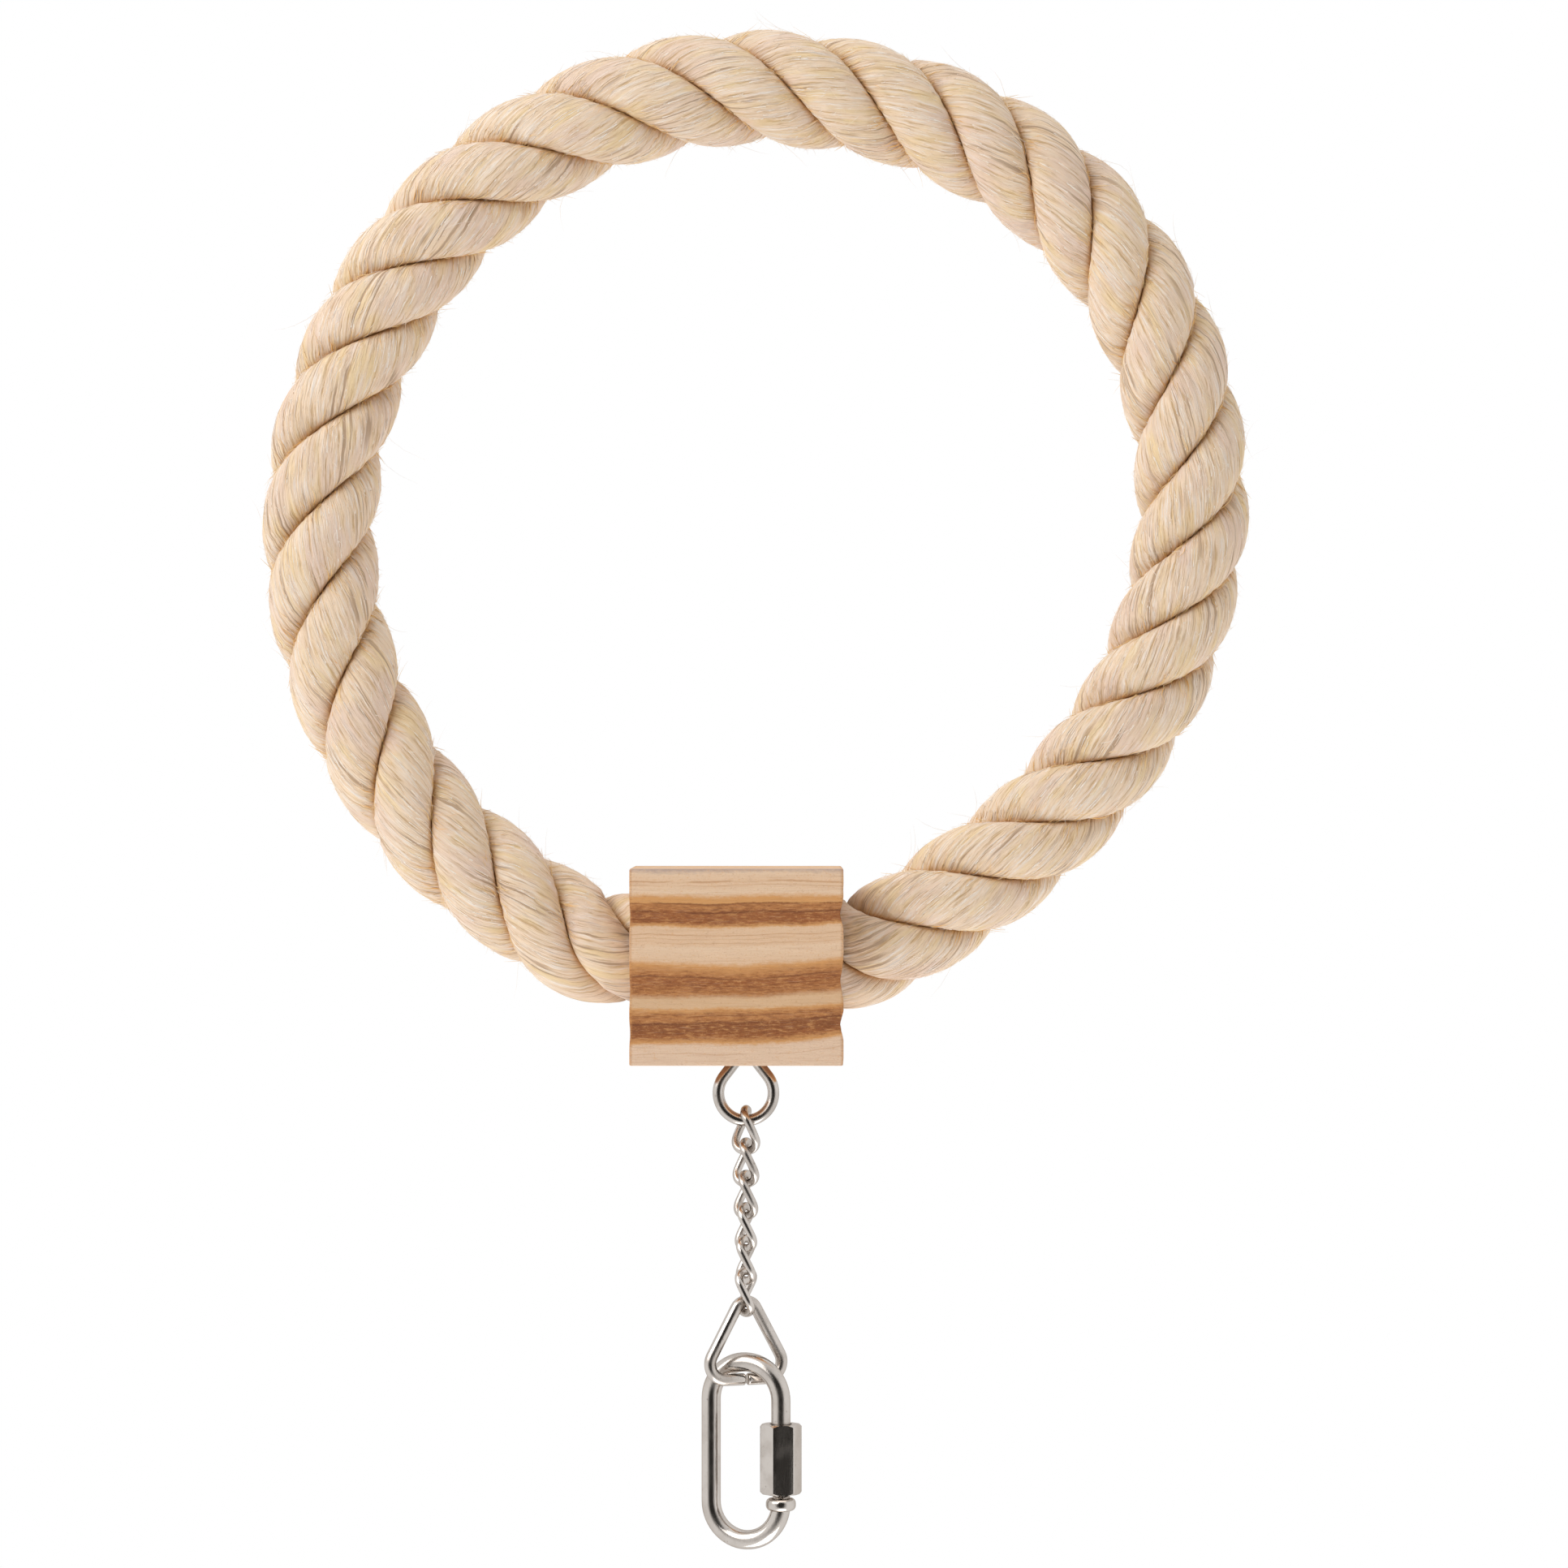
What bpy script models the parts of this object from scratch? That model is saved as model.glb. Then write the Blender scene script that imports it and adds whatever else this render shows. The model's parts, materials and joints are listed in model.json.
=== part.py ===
# Rope ring bird swing, modelled hanging as it is used: metres, +Z up, front face towards -Y.
# A thick laid cotton rope is bent into a ring and both of its ends are glued into a wooden block.
# A screw eye in the block, six twisted chain links and a triangle link hang it from a quick link.
# The origin is the point inside the quick link's top bow where a cage bar carries the swing.

import math

import bmesh
import bpy
from mathutils import Matrix, Vector
from mathutils.geometry import interpolate_bezier

# Clearance left between pieces that touch on the real swing
GAP = 0.0003

# Quick link: a C of round wire closed by a hexagonal sleeve nut
QUICK_WIRE = 0.0040
QUICK_LENGTH = 0.0408
QUICK_WIDTH = 0.0196
QUICK_TURN = math.radians(22)
COLLAR_DROP = 0.0044
COLLAR_DIAMETER = 0.0062
COLLAR_LENGTH = 0.0027
COLLAR_ROUND = 0.0006
STUD_DIAMETER = 0.0036
STUD_LENGTH = 0.0014
LOCK_OPENING = 0.0034
NUT_FROM_COLLAR = 0.0008
NUT_LENGTH = 0.0144
NUT_ACROSS_FLATS = 0.0076
NUT_CHAMFER = 0.0005

# Triangle link: one bent wire whose ends meet in the middle of the straight side
TRIANGLE_WIRE = 0.0025
TRIANGLE_HEIGHT = 0.0186
TRIANGLE_WIDTH = 0.0186
TRIANGLE_CORNER = 0.0034
TRIANGLE_TIP = 0.0023
TRIANGLE_SPLIT = 0.0006
TRIANGLE_TURN = math.radians(-24)

# Chain: oval links, each twisted a quarter turn, left-handed
LINK_COUNT = 6
LINK_WIRE = 0.0017
LINK_INNER_LENGTH = 0.0070
LINK_SIDE_PLAY = 0.0007
LINK_TWIST = math.radians(-90)
TOP_LINK_TURN = math.radians(96)
BOTTOM_LINK_TURN = math.radians(62)

# Screw eye, its neck sunk a little into the wood
EYE_WIRE = 0.0024
EYE_WIDTH = 0.0138
EYE_RISE = 0.0066
EYE_NECK_DEPTH = 0.0027
EYE_SLIT = 0.0006
EYE_SHANK = 0.0170
EYE_POINT = 0.0040

# Rope, measured over its three strands, and the wood left round it
ROPE_DIAMETER = 0.0236
ROPE_LAY = 0.0530
ROPE_LAY_START = math.radians(-30)
STRAND_COUNT = 3
STRAND_RADIUS = 0.0070
WALL_EYE_SIDE = 0.0106
WALL_RING_SIDE = 0.0053
WALL_FACES = 0.0082
SOCKET_DEPTH = 0.0172
WEB_THICKNESS = 0.0092
GLUE_THICKNESS = 0.0012
BLOCK_SIDE_SHIFT = 0.0018
BLOCK_EDGE = 0.0006

# Front and back of the block: the soft bands of the grain are brushed lower than the hard ones.
# Each band is its distance from the eye's face and its half width.
BAND_DEPTH = 0.0005
SOFT_BANDS = ((0.0066, 0.0036), (0.0158, 0.0046), (0.0306, 0.0042))

# Ring along the middle of the rope: its size, how far the block flattens it, and how far its middle
# lies beside the block's. The rope's departures from a true circle are chosen at even angles, from
# the block's +X side round to its -X side.
RING_DIAMETER = 0.1806
RING_FLAT = 0.0014
RING_SIDE_SHIFT = -0.0038
RING_DEPARTURES = (0.0034, 0.0016, 0.0006, -0.0004, -0.0011, -0.0008, -0.0004,
                   -0.0001, 0.0014, 0.0019, 0.0004, -0.0019, -0.0038, -0.0019)

# Facets
ARC_STEP = math.radians(15)
TURN_RINGS = 15
LOBE_POINTS = 4
ROUND_SIDES = 32
BAND_STEP = 0.0016


def clear_scene():
    for thing in list(bpy.data.objects):
        bpy.data.objects.remove(thing, do_unlink=True)


def finish(name, colour, roughness, metallic):
    material = bpy.data.materials.new(name)
    material.use_nodes = True
    shader = material.node_tree.nodes["Principled BSDF"]
    shader.inputs["Base Color"].default_value = (*colour, 1.0)
    shader.inputs["Roughness"].default_value = roughness
    shader.inputs["Metallic"].default_value = metallic
    return material


def add_object(name, data, material=None):
    thing = bpy.data.objects.new(name, data)
    bpy.context.scene.collection.objects.link(thing)
    if material:
        data.materials.append(material)
    return thing


def mesh_object(name, shape, material=None):
    mesh = bpy.data.meshes.new(name)
    shape.to_mesh(mesh)
    shape.free()
    mesh.shade_smooth()
    mesh.set_sharp_from_angle(angle=math.radians(35))
    return add_object(name, mesh, material)


def cutter(name, shape):
    tool = mesh_object(name, shape)
    tool.hide_render = True
    tool.display_type = "WIRE"
    return tool


def combine(thing, tool, operation):
    boolean = thing.modifiers.new(tool.name, "BOOLEAN")
    boolean.operation = operation
    boolean.object = tool


def hang(thing, carrier):
    # Parents a piece to what carries it and keeps its place in the world.
    bpy.context.view_layer.update()
    thing.parent = carrier
    thing.matrix_parent_inverse = carrier.matrix_world.inverted()


def hinge(name, height, turn, carrier):
    # An empty whose X axis is the hinge line between two wires.
    empty = add_object(name, None)
    empty.empty_display_size = QUICK_WIRE
    empty.location.z = height
    empty.rotation_euler.z = turn
    hang(empty, carrier)
    return empty


def arc(centre, radius, start, end):
    # Points in the XZ plane; angles run from +X towards +Z.
    steps = max(1, math.ceil(abs(end - start) / ARC_STEP))
    angles = [start + (end - start) * step / steps for step in range(steps + 1)]
    return [Vector((centre[0] + radius * math.cos(a), 0.0, centre[1] + radius * math.sin(a)))
            for a in angles]


def round_pegs(pegs):
    # The line of a wire wound anticlockwise round pegs (x, z, radius), as on a bending jig.
    normals = []
    for index, (x, z, radius) in enumerate(pegs):
        next_x, next_z, next_radius = pegs[(index + 1) % len(pegs)]
        along = math.atan2(next_z - z, next_x - x)
        span = math.hypot(next_x - x, next_z - z)
        normals.append(along - math.pi / 2 + math.asin((radius - next_radius) / span))
    points = []
    for index, (x, z, radius) in enumerate(pegs):
        start = normals[index - 1]
        sweep = (normals[index] - start) % (2 * math.pi)
        points += arc((x, z), radius, start, start + sweep)
    return points


def wire(name, points, diameter, sides, material, closed=False, sizes=None):
    # A round wire: sizes, where given, scale its thickness from point to point.
    curve = bpy.data.curves.new(name, "CURVE")
    curve.dimensions = "3D"
    curve.bevel_depth = diameter / 2
    curve.bevel_resolution = (sides - 4) // 2
    curve.use_fill_caps = not closed
    spline = curve.splines.new("POLY")
    spline.points.add(len(points) - 1)
    for index, point in enumerate(points):
        spline.points[index].co = (*point, 1.0)
        spline.points[index].radius = sizes[index] if sizes else 1.0
    spline.use_cyclic_u = closed
    return add_object(name, curve, material)


def cylinder(radius, length, sides=ROUND_SIDES):
    shape = bmesh.new()
    bmesh.ops.create_cone(shape, cap_ends=True, segments=sides, radius1=radius, radius2=radius,
                          depth=length)
    return shape


def make_quick_link(steel):
    # The wire starts inside the nut, rounds both bows and ends in the collar and its stud.
    bow = (QUICK_WIDTH - QUICK_WIRE) / 2
    top = QUICK_WIRE / 2 - bow
    low = bow - QUICK_WIRE / 2 - (QUICK_LENGTH - 2 * QUICK_WIRE)
    collar_low = -COLLAR_DROP - COLLAR_LENGTH
    stud_end = collar_low - NUT_FROM_COLLAR - STUD_LENGTH
    bends = round_pegs([(0.0, low, bow), (0.0, top, bow)])
    bends = [point for point in bends if point.x > -bow + GAP or point.z < collar_low]
    collar = [(-COLLAR_DROP + COLLAR_ROUND, 1.0),
              (-COLLAR_DROP, COLLAR_DIAMETER / QUICK_WIRE - 2 * COLLAR_ROUND / QUICK_WIRE),
              (-COLLAR_DROP - COLLAR_ROUND, COLLAR_DIAMETER / QUICK_WIRE),
              (collar_low + COLLAR_ROUND, COLLAR_DIAMETER / QUICK_WIRE),
              (collar_low, COLLAR_DIAMETER / QUICK_WIRE - 2 * COLLAR_ROUND / QUICK_WIRE),
              (collar_low - GAP, STUD_DIAMETER / QUICK_WIRE),
              (stud_end, STUD_DIAMETER / QUICK_WIRE)]
    points = [Vector((-bow, 0.0, stud_end - LOCK_OPENING))] + bends
    points += [Vector((-bow, 0.0, height)) for height, size in collar]
    sizes = [1.0] * (len(bends) + 1) + [size for height, size in collar]
    link = wire("quick_link", points, QUICK_WIRE, 12, steel, sizes=sizes)
    link.rotation_euler.z = QUICK_TURN

    across_corners = NUT_ACROSS_FLATS / math.cos(math.pi / 6)
    nut = mesh_object("quick_link_nut", cylinder(across_corners / 2, NUT_LENGTH, 6), steel)
    turned = cylinder(across_corners / 2, NUT_LENGTH + 2 * GAP)
    rims = [edge for edge in turned.edges if abs(edge.verts[0].co.z - edge.verts[1].co.z) < GAP]
    bmesh.ops.bevel(turned, geom=rims, offset=NUT_CHAMFER + GAP, segments=1, profile=0.5,
                    affect="EDGES")
    rounding = cutter("nut_end_chamfers", turned)
    bore = cutter("nut_bore", cylinder(QUICK_WIRE / 2 + GAP, 2 * NUT_LENGTH))
    combine(nut, rounding, "INTERSECT")
    combine(nut, bore, "DIFFERENCE")
    place = Matrix.Rotation(QUICK_TURN, 4, "Z") @ Vector((-bow, 0.0, 0.0))
    place.z = collar_low - NUT_FROM_COLLAR - NUT_LENGTH / 2
    for piece in (nut, rounding, bore):
        piece.location = place
        piece.rotation_euler.z = QUICK_TURN
        hang(piece, link)
    low_wire = -(QUICK_LENGTH - 2 * QUICK_WIRE) - QUICK_WIRE / 2
    return link, low_wire


def make_triangle(steel, carrier, carrier_wire):
    # Hangs by its straight side, tip down; the wire's ends meet in the middle of that side.
    base = carrier_wire + (QUICK_WIRE + TRIANGLE_WIRE) / 2 + GAP
    tip = TRIANGLE_WIRE - TRIANGLE_HEIGHT
    reach = (TRIANGLE_WIDTH - TRIANGLE_WIRE) / 2 - TRIANGLE_CORNER
    bends = round_pegs([(-reach, -TRIANGLE_CORNER, TRIANGLE_CORNER),
                        (0.0, tip + TRIANGLE_TIP, TRIANGLE_TIP),
                        (reach, -TRIANGLE_CORNER, TRIANGLE_CORNER)])
    points = [Vector((-TRIANGLE_SPLIT / 2, 0.0, 0.0))] + bends + [Vector((TRIANGLE_SPLIT / 2, 0.0, 0.0))]
    swing = hinge("hinge_triangle_link", base, TRIANGLE_TURN, carrier)
    link = wire("triangle_link", points, TRIANGLE_WIRE, 10, steel)
    link.location.z = base
    link.rotation_euler.z = TRIANGLE_TURN
    hang(link, swing)
    return link, base + tip


def twisted_oval():
    # One link round two equal pegs, turned about its own length by a share of the twist.
    inner_width = max(EYE_WIRE, TRIANGLE_WIRE, LINK_WIRE) + 2 * LINK_SIDE_PLAY
    bow = (inner_width + LINK_WIRE) / 2
    length = LINK_INNER_LENGTH + LINK_WIRE
    flat = round_pegs([(0.0, bow - length, bow), (0.0, -bow, bow)])
    legs = 4
    first_leg = [Vector((bow, 0.0, bow - length + (length - 2 * bow) * step / legs))
                 for step in range(1, legs)]
    second_leg = [Vector((-point.x, 0.0, -length - point.z)) for point in first_leg]
    half = len(flat) // 2
    flat = flat[:half] + first_leg + flat[half:] + second_leg
    return [Matrix.Rotation(LINK_TWIST * (point.z / length + 0.5), 3, "Z") @ point for point in flat]


def make_chain(steel, carrier, carrier_wire):
    # Links are numbered from the block upwards; every second hinge lies along the upper wire.
    oval = twisted_oval()
    length = LINK_INNER_LENGTH + LINK_WIRE
    upper_wire = TRIANGLE_WIRE
    upper_turn = TRIANGLE_TURN
    for index in range(LINK_COUNT):
        number = LINK_COUNT - index
        share = index / max(1, LINK_COUNT - 1)
        turn = TOP_LINK_TURN + (BOTTOM_LINK_TURN - TOP_LINK_TURN) * share
        top = carrier_wire + (upper_wire + LINK_WIRE) / 2 + GAP
        own_wire = index % 2 == 0
        swing = hinge(f"hinge_chain_link_{number}", top if own_wire else carrier_wire,
                      turn + LINK_TWIST / 2 if own_wire else upper_turn, carrier)
        link = wire(f"chain_link_{number}", oval, LINK_WIRE, 8, steel, closed=True)
        link.location.z = top
        link.rotation_euler.z = turn
        hang(link, swing)
        carrier = link
        carrier_wire = top - length
        upper_wire = LINK_WIRE
        upper_turn = turn - LINK_TWIST / 2
    return carrier, carrier_wire


def eye_leg_angle():
    # Slope of the eye's legs, from the neck to where they touch the ring of the eye
    return math.asin((EYE_WIDTH - EYE_WIRE) / 2 / (EYE_RISE + EYE_NECK_DEPTH))


def make_eye(steel, carrier, carrier_wire):
    # Shank, neck and pear-shaped ring are one wire, which ends just short of its own neck.
    ring = (EYE_WIDTH - EYE_WIRE) / 2
    top = carrier_wire + (LINK_WIRE + EYE_WIRE) / 2 + GAP
    swing = hinge("hinge_perch", top, 0.0, carrier)
    centre = top - ring
    neck = centre - EYE_RISE - EYE_NECK_DEPTH
    lean = eye_leg_angle()
    stop = (EYE_WIRE + EYE_SLIT) / 2 / math.sin(lean)
    loop = arc((0.0, centre), ring, -lean, math.pi + lean)
    tip = neck - EYE_SHANK
    points = [Vector((0.0, 0.0, tip)), Vector((0.0, 0.0, tip + EYE_POINT)), Vector((0.0, 0.0, neck))]
    points += loop + [Vector((-stop * math.sin(lean), 0.0, neck + stop * math.cos(lean)))]
    sizes = [0.15] + [1.0] * (len(points) - 1)
    eye = wire("eye_screw", [point - Vector((0.0, 0.0, top)) for point in points], EYE_WIRE, 10, steel,
               sizes=sizes)
    eye.location.z = top
    hang(eye, swing)
    return swing, centre - EYE_RISE


def block_outline(height, depth):
    # Section across the grain: level ends, and a front and back lowered along the soft bands.
    def lowered(drop):
        shares = [max(0.0, 1.0 - abs(drop - middle) / half) for middle, half in SOFT_BANDS]
        return BAND_DEPTH * sum(math.sin(share * math.pi / 2) ** 2 for share in shares)

    steps = math.ceil(height / BAND_STEP)
    drops = [height * step / steps for step in range(steps + 1)]
    front = [Vector((0.0, lowered(drop) - depth / 2, -drop)) for drop in drops]
    return front + [Vector((0.0, -point.y, point.z)) for point in reversed(front)]


def make_block(wood, glue, perch, face):
    # A length of square batten with a blind socket in each end and the eye's hole in its top.
    bore = ROPE_DIAMETER / 2 + GAP
    bore_line = face - WALL_EYE_SIDE - bore
    height = WALL_EYE_SIDE + 2 * bore + WALL_RING_SIDE
    depth = 2 * (bore + WALL_FACES)
    width = 2 * SOCKET_DEPTH + WEB_THICKNESS

    shape = bmesh.new()
    section = shape.faces.new([shape.verts.new(point) for point in block_outline(height, depth)])
    run = bmesh.ops.extrude_face_region(shape, geom=[section])
    moved = [item for item in run["geom"] if isinstance(item, bmesh.types.BMVert)]
    bmesh.ops.translate(shape, verts=moved, vec=(width, 0.0, 0.0))
    bmesh.ops.translate(shape, verts=shape.verts, vec=(-width / 2, 0.0, 0.0))
    bmesh.ops.recalc_face_normals(shape, faces=shape.faces)
    block = mesh_object("wood_block", shape, wood)
    block.location = (BLOCK_SIDE_SHIFT, 0.0, face)
    edges = block.modifiers.new("sanded_edges", "BEVEL")
    edges.width = BLOCK_EDGE
    edges.segments = 2
    edges.limit_method = "ANGLE"
    edges.angle_limit = math.radians(50)
    hang(block, perch)

    for name, side in (("right", 1), ("left", -1)):
        socket = cutter(f"rope_socket_{name}", cylinder(bore, 2 * SOCKET_DEPTH, 48))
        socket.location = (BLOCK_SIDE_SHIFT + side * width / 2, 0.0, bore_line)
        socket.rotation_euler.y = math.pi / 2
        combine(block, socket, "DIFFERENCE")
        plug = mesh_object(f"glue_plug_{name}", cylinder(ROPE_DIAMETER / 2, GLUE_THICKNESS), glue)
        inset = WEB_THICKNESS / 2 + GAP + GLUE_THICKNESS / 2
        plug.location = (BLOCK_SIDE_SHIFT + side * inset, 0.0, bore_line)
        plug.rotation_euler.y = math.pi / 2
        hang(socket, perch)
        hang(plug, perch)

    hole_radius = EYE_WIRE / 2 + GAP
    hole_depth = EYE_NECK_DEPTH + EYE_SHANK + GAP
    hole = cutter("eye_pilot_hole", cylinder(hole_radius, 2 * hole_depth, 24))
    lean = eye_leg_angle()
    mouth = EYE_NECK_DEPTH * math.tan(lean) + EYE_WIRE / 2 / math.cos(lean) + GAP
    cone = bmesh.new()
    bmesh.ops.create_cone(cone, cap_ends=True, segments=24, radius1=0.0, radius2=2 * mouth,
                          depth=2 * mouth / math.tan(lean))
    recess = cutter("eye_neck_recess", cone)
    for tool in (hole, recess):
        tool.location.z = face
        combine(block, tool, "DIFFERENCE")
        hang(tool, perch)
    return bore_line, width


def rope_route(bore_line, width):
    # Out of the block square to its end, round the hand-set ring, and square into the other end.
    radius = RING_DIAMETER / 2
    centre = Vector((BLOCK_SIDE_SHIFT + RING_SIDE_SHIFT, 0.0, bore_line - radius + RING_FLAT))
    step = 2 * math.pi / (len(RING_DEPARTURES) + 1)
    ring = [centre + Matrix.Rotation(step * (k + 1), 3, "Y") @ Vector((0.0, 0.0, radius + departure))
            for k, departure in enumerate(RING_DEPARTURES)]
    right = Vector((BLOCK_SIDE_SHIFT + width / 2 + GAP, 0.0, bore_line))
    left = Vector((BLOCK_SIDE_SHIFT - width / 2 - GAP, 0.0, bore_line))
    knots = [right, *ring, left]
    inward = Vector((-1.0, 0.0, 0.0))
    ways = [-inward] + [(knots[k + 1] - knots[k - 1]).normalized() for k in range(1, len(knots) - 1)]
    ways.append(-inward)
    held = SOCKET_DEPTH - GLUE_THICKNESS - 2 * GAP
    fine = [right + inward * (held + GAP)]
    for k in range(len(knots) - 1):
        reach = (knots[k + 1] - knots[k]).length / 3
        fine += interpolate_bezier(knots[k], knots[k] + ways[k] * reach,
                                   knots[k + 1] - ways[k + 1] * reach, knots[k + 1], 24)[:-1]
    return fine + [left, left - inward * (held + GAP)]


def even_points(route, spacing):
    lengths = [0.0]
    for first, second in zip(route, route[1:]):
        lengths.append(lengths[-1] + (second - first).length)
    count = round(lengths[-1] / spacing)
    points = []
    k = 0
    for index in range(count + 1):
        along = lengths[-1] * index / count
        while k < len(route) - 2 and lengths[k + 1] < along:
            k += 1
        share = (along - lengths[k]) / (lengths[k + 1] - lengths[k])
        points.append(route[k].lerp(route[k + 1], share))
    return points


def strand_section():
    # Outline of the laid rope: equal strands pressed together, with a groove between each pair.
    out = ROPE_DIAMETER / 2 - STRAND_RADIUS
    half = math.pi / STRAND_COUNT
    groove = out * math.cos(half) + math.sqrt(STRAND_RADIUS ** 2 - (out * math.sin(half)) ** 2)
    sweep = math.atan2(groove * math.sin(half), groove * math.cos(half) - out)
    points = []
    for strand in range(STRAND_COUNT):
        turn = Matrix.Rotation(2 * half * strand, 3, "Z")
        for step in range(LOBE_POINTS):
            angle = sweep * (2 * step / LOBE_POINTS - 1)
            points.append(turn @ Vector((out + STRAND_RADIUS * math.cos(angle),
                                         STRAND_RADIUS * math.sin(angle), 0.0)))
    outline = bpy.data.curves.new("strand_section", "CURVE")
    spline = outline.splines.new("POLY")
    spline.points.add(len(points) - 1)
    for index, point in enumerate(reversed(points)):
        spline.points[index].co = (*point, 1.0)
    spline.use_cyclic_u = True
    guide = add_object("strand_section", outline)
    guide.hide_render = True
    guide.display_type = "WIRE"
    return guide


def make_rope(cotton, perch, bore_line, width):
    points = even_points(rope_route(bore_line, width), ROPE_LAY / TURN_RINGS)
    rope = wire("rope_ring", points, ROPE_DIAMETER, 12, cotton)
    rope.data.bevel_mode = "OBJECT"
    rope.data.bevel_object = strand_section()
    for index, point in enumerate(rope.data.splines[0].points):
        point.tilt = ROPE_LAY_START + 2 * math.pi * index / TURN_RINGS
    hang(rope, perch)


def main():
    clear_scene()
    steel = finish("nickel_plated_steel", (0.62, 0.61, 0.58), 0.22, 1.0)
    wood = finish("brushed_scorched_pine", (0.55, 0.36, 0.22), 0.70, 0.0)
    cotton = finish("undyed_cotton_rope", (0.74, 0.66, 0.55), 0.90, 0.0)
    glue = finish("dried_wood_glue", (0.80, 0.70, 0.45), 0.45, 0.0)
    quick, wire_height = make_quick_link(steel)
    triangle, wire_height = make_triangle(steel, quick, wire_height)
    last_link, wire_height = make_chain(steel, triangle, wire_height)
    perch, face = make_eye(steel, last_link, wire_height)
    bore_line, width = make_block(wood, glue, perch, face)
    make_rope(cotton, perch, bore_line, width)
    bpy.context.view_layer.update()


main()
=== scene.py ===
import json
import math
import random

import bmesh
import bpy
from mathutils import Matrix, Vector, noise
from mathutils.geometry import interpolate_bezier

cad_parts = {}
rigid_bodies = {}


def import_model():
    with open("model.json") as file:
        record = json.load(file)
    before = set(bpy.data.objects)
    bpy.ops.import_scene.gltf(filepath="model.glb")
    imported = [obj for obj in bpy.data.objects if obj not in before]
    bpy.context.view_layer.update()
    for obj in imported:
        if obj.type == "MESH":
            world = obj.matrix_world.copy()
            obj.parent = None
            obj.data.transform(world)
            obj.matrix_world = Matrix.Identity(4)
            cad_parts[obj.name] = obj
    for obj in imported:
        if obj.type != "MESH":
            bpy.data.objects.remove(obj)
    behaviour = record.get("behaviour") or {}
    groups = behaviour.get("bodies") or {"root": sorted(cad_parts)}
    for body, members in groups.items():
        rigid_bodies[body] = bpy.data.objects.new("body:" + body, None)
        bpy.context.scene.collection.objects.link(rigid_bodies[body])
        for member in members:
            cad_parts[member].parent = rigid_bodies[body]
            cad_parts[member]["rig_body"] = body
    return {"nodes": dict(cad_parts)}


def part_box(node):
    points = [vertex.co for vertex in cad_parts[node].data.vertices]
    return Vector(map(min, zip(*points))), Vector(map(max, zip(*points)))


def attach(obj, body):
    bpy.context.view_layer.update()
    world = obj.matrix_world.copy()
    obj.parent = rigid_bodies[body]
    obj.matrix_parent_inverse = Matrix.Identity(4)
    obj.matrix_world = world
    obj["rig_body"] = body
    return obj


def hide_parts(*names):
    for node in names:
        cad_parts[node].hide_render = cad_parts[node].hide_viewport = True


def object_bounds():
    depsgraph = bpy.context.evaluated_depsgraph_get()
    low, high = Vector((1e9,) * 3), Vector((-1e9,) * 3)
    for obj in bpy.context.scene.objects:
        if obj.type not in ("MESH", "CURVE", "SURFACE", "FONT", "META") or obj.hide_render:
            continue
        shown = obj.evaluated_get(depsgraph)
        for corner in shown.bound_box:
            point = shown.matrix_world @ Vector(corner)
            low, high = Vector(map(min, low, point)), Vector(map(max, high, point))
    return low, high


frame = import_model()
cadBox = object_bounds()
cadMiddle = (cadBox[0] + cadBox[1]) / 2
blockLow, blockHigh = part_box("wood_block")
blockMiddle = (blockLow + blockHigh) / 2
print("frame loaded:", len(frame["nodes"]), "nodes")


# camera: square on to the front, with the picture head down as the swing was laid out

photoView = dict(
    pixels=1932,                    # side of the picture
    metresPerPixel=0.000168,        # from the quick link's length
    ringPixel=(931, 655),           # middle of the rope ring in the picture
    ringMiddle=(-0.0020, -0.2087),  # the same point's x and z
    lift=12,                        # pixels that make room for the taut chain
    distance=1.15,
    sensor=36.0,
)


def makeCamera():
    scale = photoView["metresPerPixel"]
    half = photoView["pixels"] / 2
    right = (half - photoView["ringPixel"][0]) * scale
    down = (half - photoView["ringPixel"][1] + photoView["lift"]) * scale
    data = bpy.data.cameras.new("front_camera")
    data.sensor_width = photoView["sensor"]
    data.lens = photoView["sensor"] * photoView["distance"] / (photoView["pixels"] * scale)
    camera = bpy.data.objects.new("front_camera", data)
    bpy.context.scene.collection.objects.link(camera)
    ringX, ringZ = photoView["ringMiddle"]
    camera.location = (ringX - right, -photoView["distance"], ringZ + down)
    camera.rotation_euler = (math.pi / 2, math.pi, 0)
    bpy.context.scene.camera = camera


makeCamera()
bpy.context.scene.view_settings.view_transform = "Standard"
print("camera set")


# node helpers

def addNode(tree, kind, inputs=None, **settings):
    made = tree.nodes.new("ShaderNode" + kind)
    for name, value in settings.items():
        setattr(made, name, value)
    for socket, value in (inputs or {}).items():
        if isinstance(value, bpy.types.NodeSocket):
            tree.links.new(value, made.inputs[socket])
        else:
            made.inputs[socket].default_value = value
    return made


def noiseOf(tree, vector, scale, detail=2.0, roughness=0.5):
    stretched = addNode(tree, "Mapping", {"Vector": vector, "Scale": scale}).outputs[0]
    return addNode(tree, "TexNoise", {"Vector": stretched, "Scale": 1.0, "Detail": detail,
                                      "Roughness": roughness}).outputs[0]


def ease(tree, value, low, high, top=1.0, kind="SMOOTHSTEP"):
    made = addNode(tree, "MapRange", {"Value": value, "From Min": low, "From Max": high, "To Max": top},
                   interpolation_type=kind)
    return made.outputs[0]


def sums(tree, operation, first, second=0.0):
    return addNode(tree, "Math", {0: first, 1: second}, operation=operation).outputs[0]


def swayOf(tree, value, size):
    # a noise turned into a length that goes either way
    return sums(tree, "MULTIPLY", sums(tree, "SUBTRACT", value, 0.5), size)


def mixColours(tree, share, first, second):
    first = first if isinstance(first, bpy.types.NodeSocket) else (*first, 1.0)
    second = second if isinstance(second, bpy.types.NodeSocket) else (*second, 1.0)
    return addNode(tree, "Mix", {0: share, 6: first, 7: second}, data_type="RGBA").outputs[2]


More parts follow.
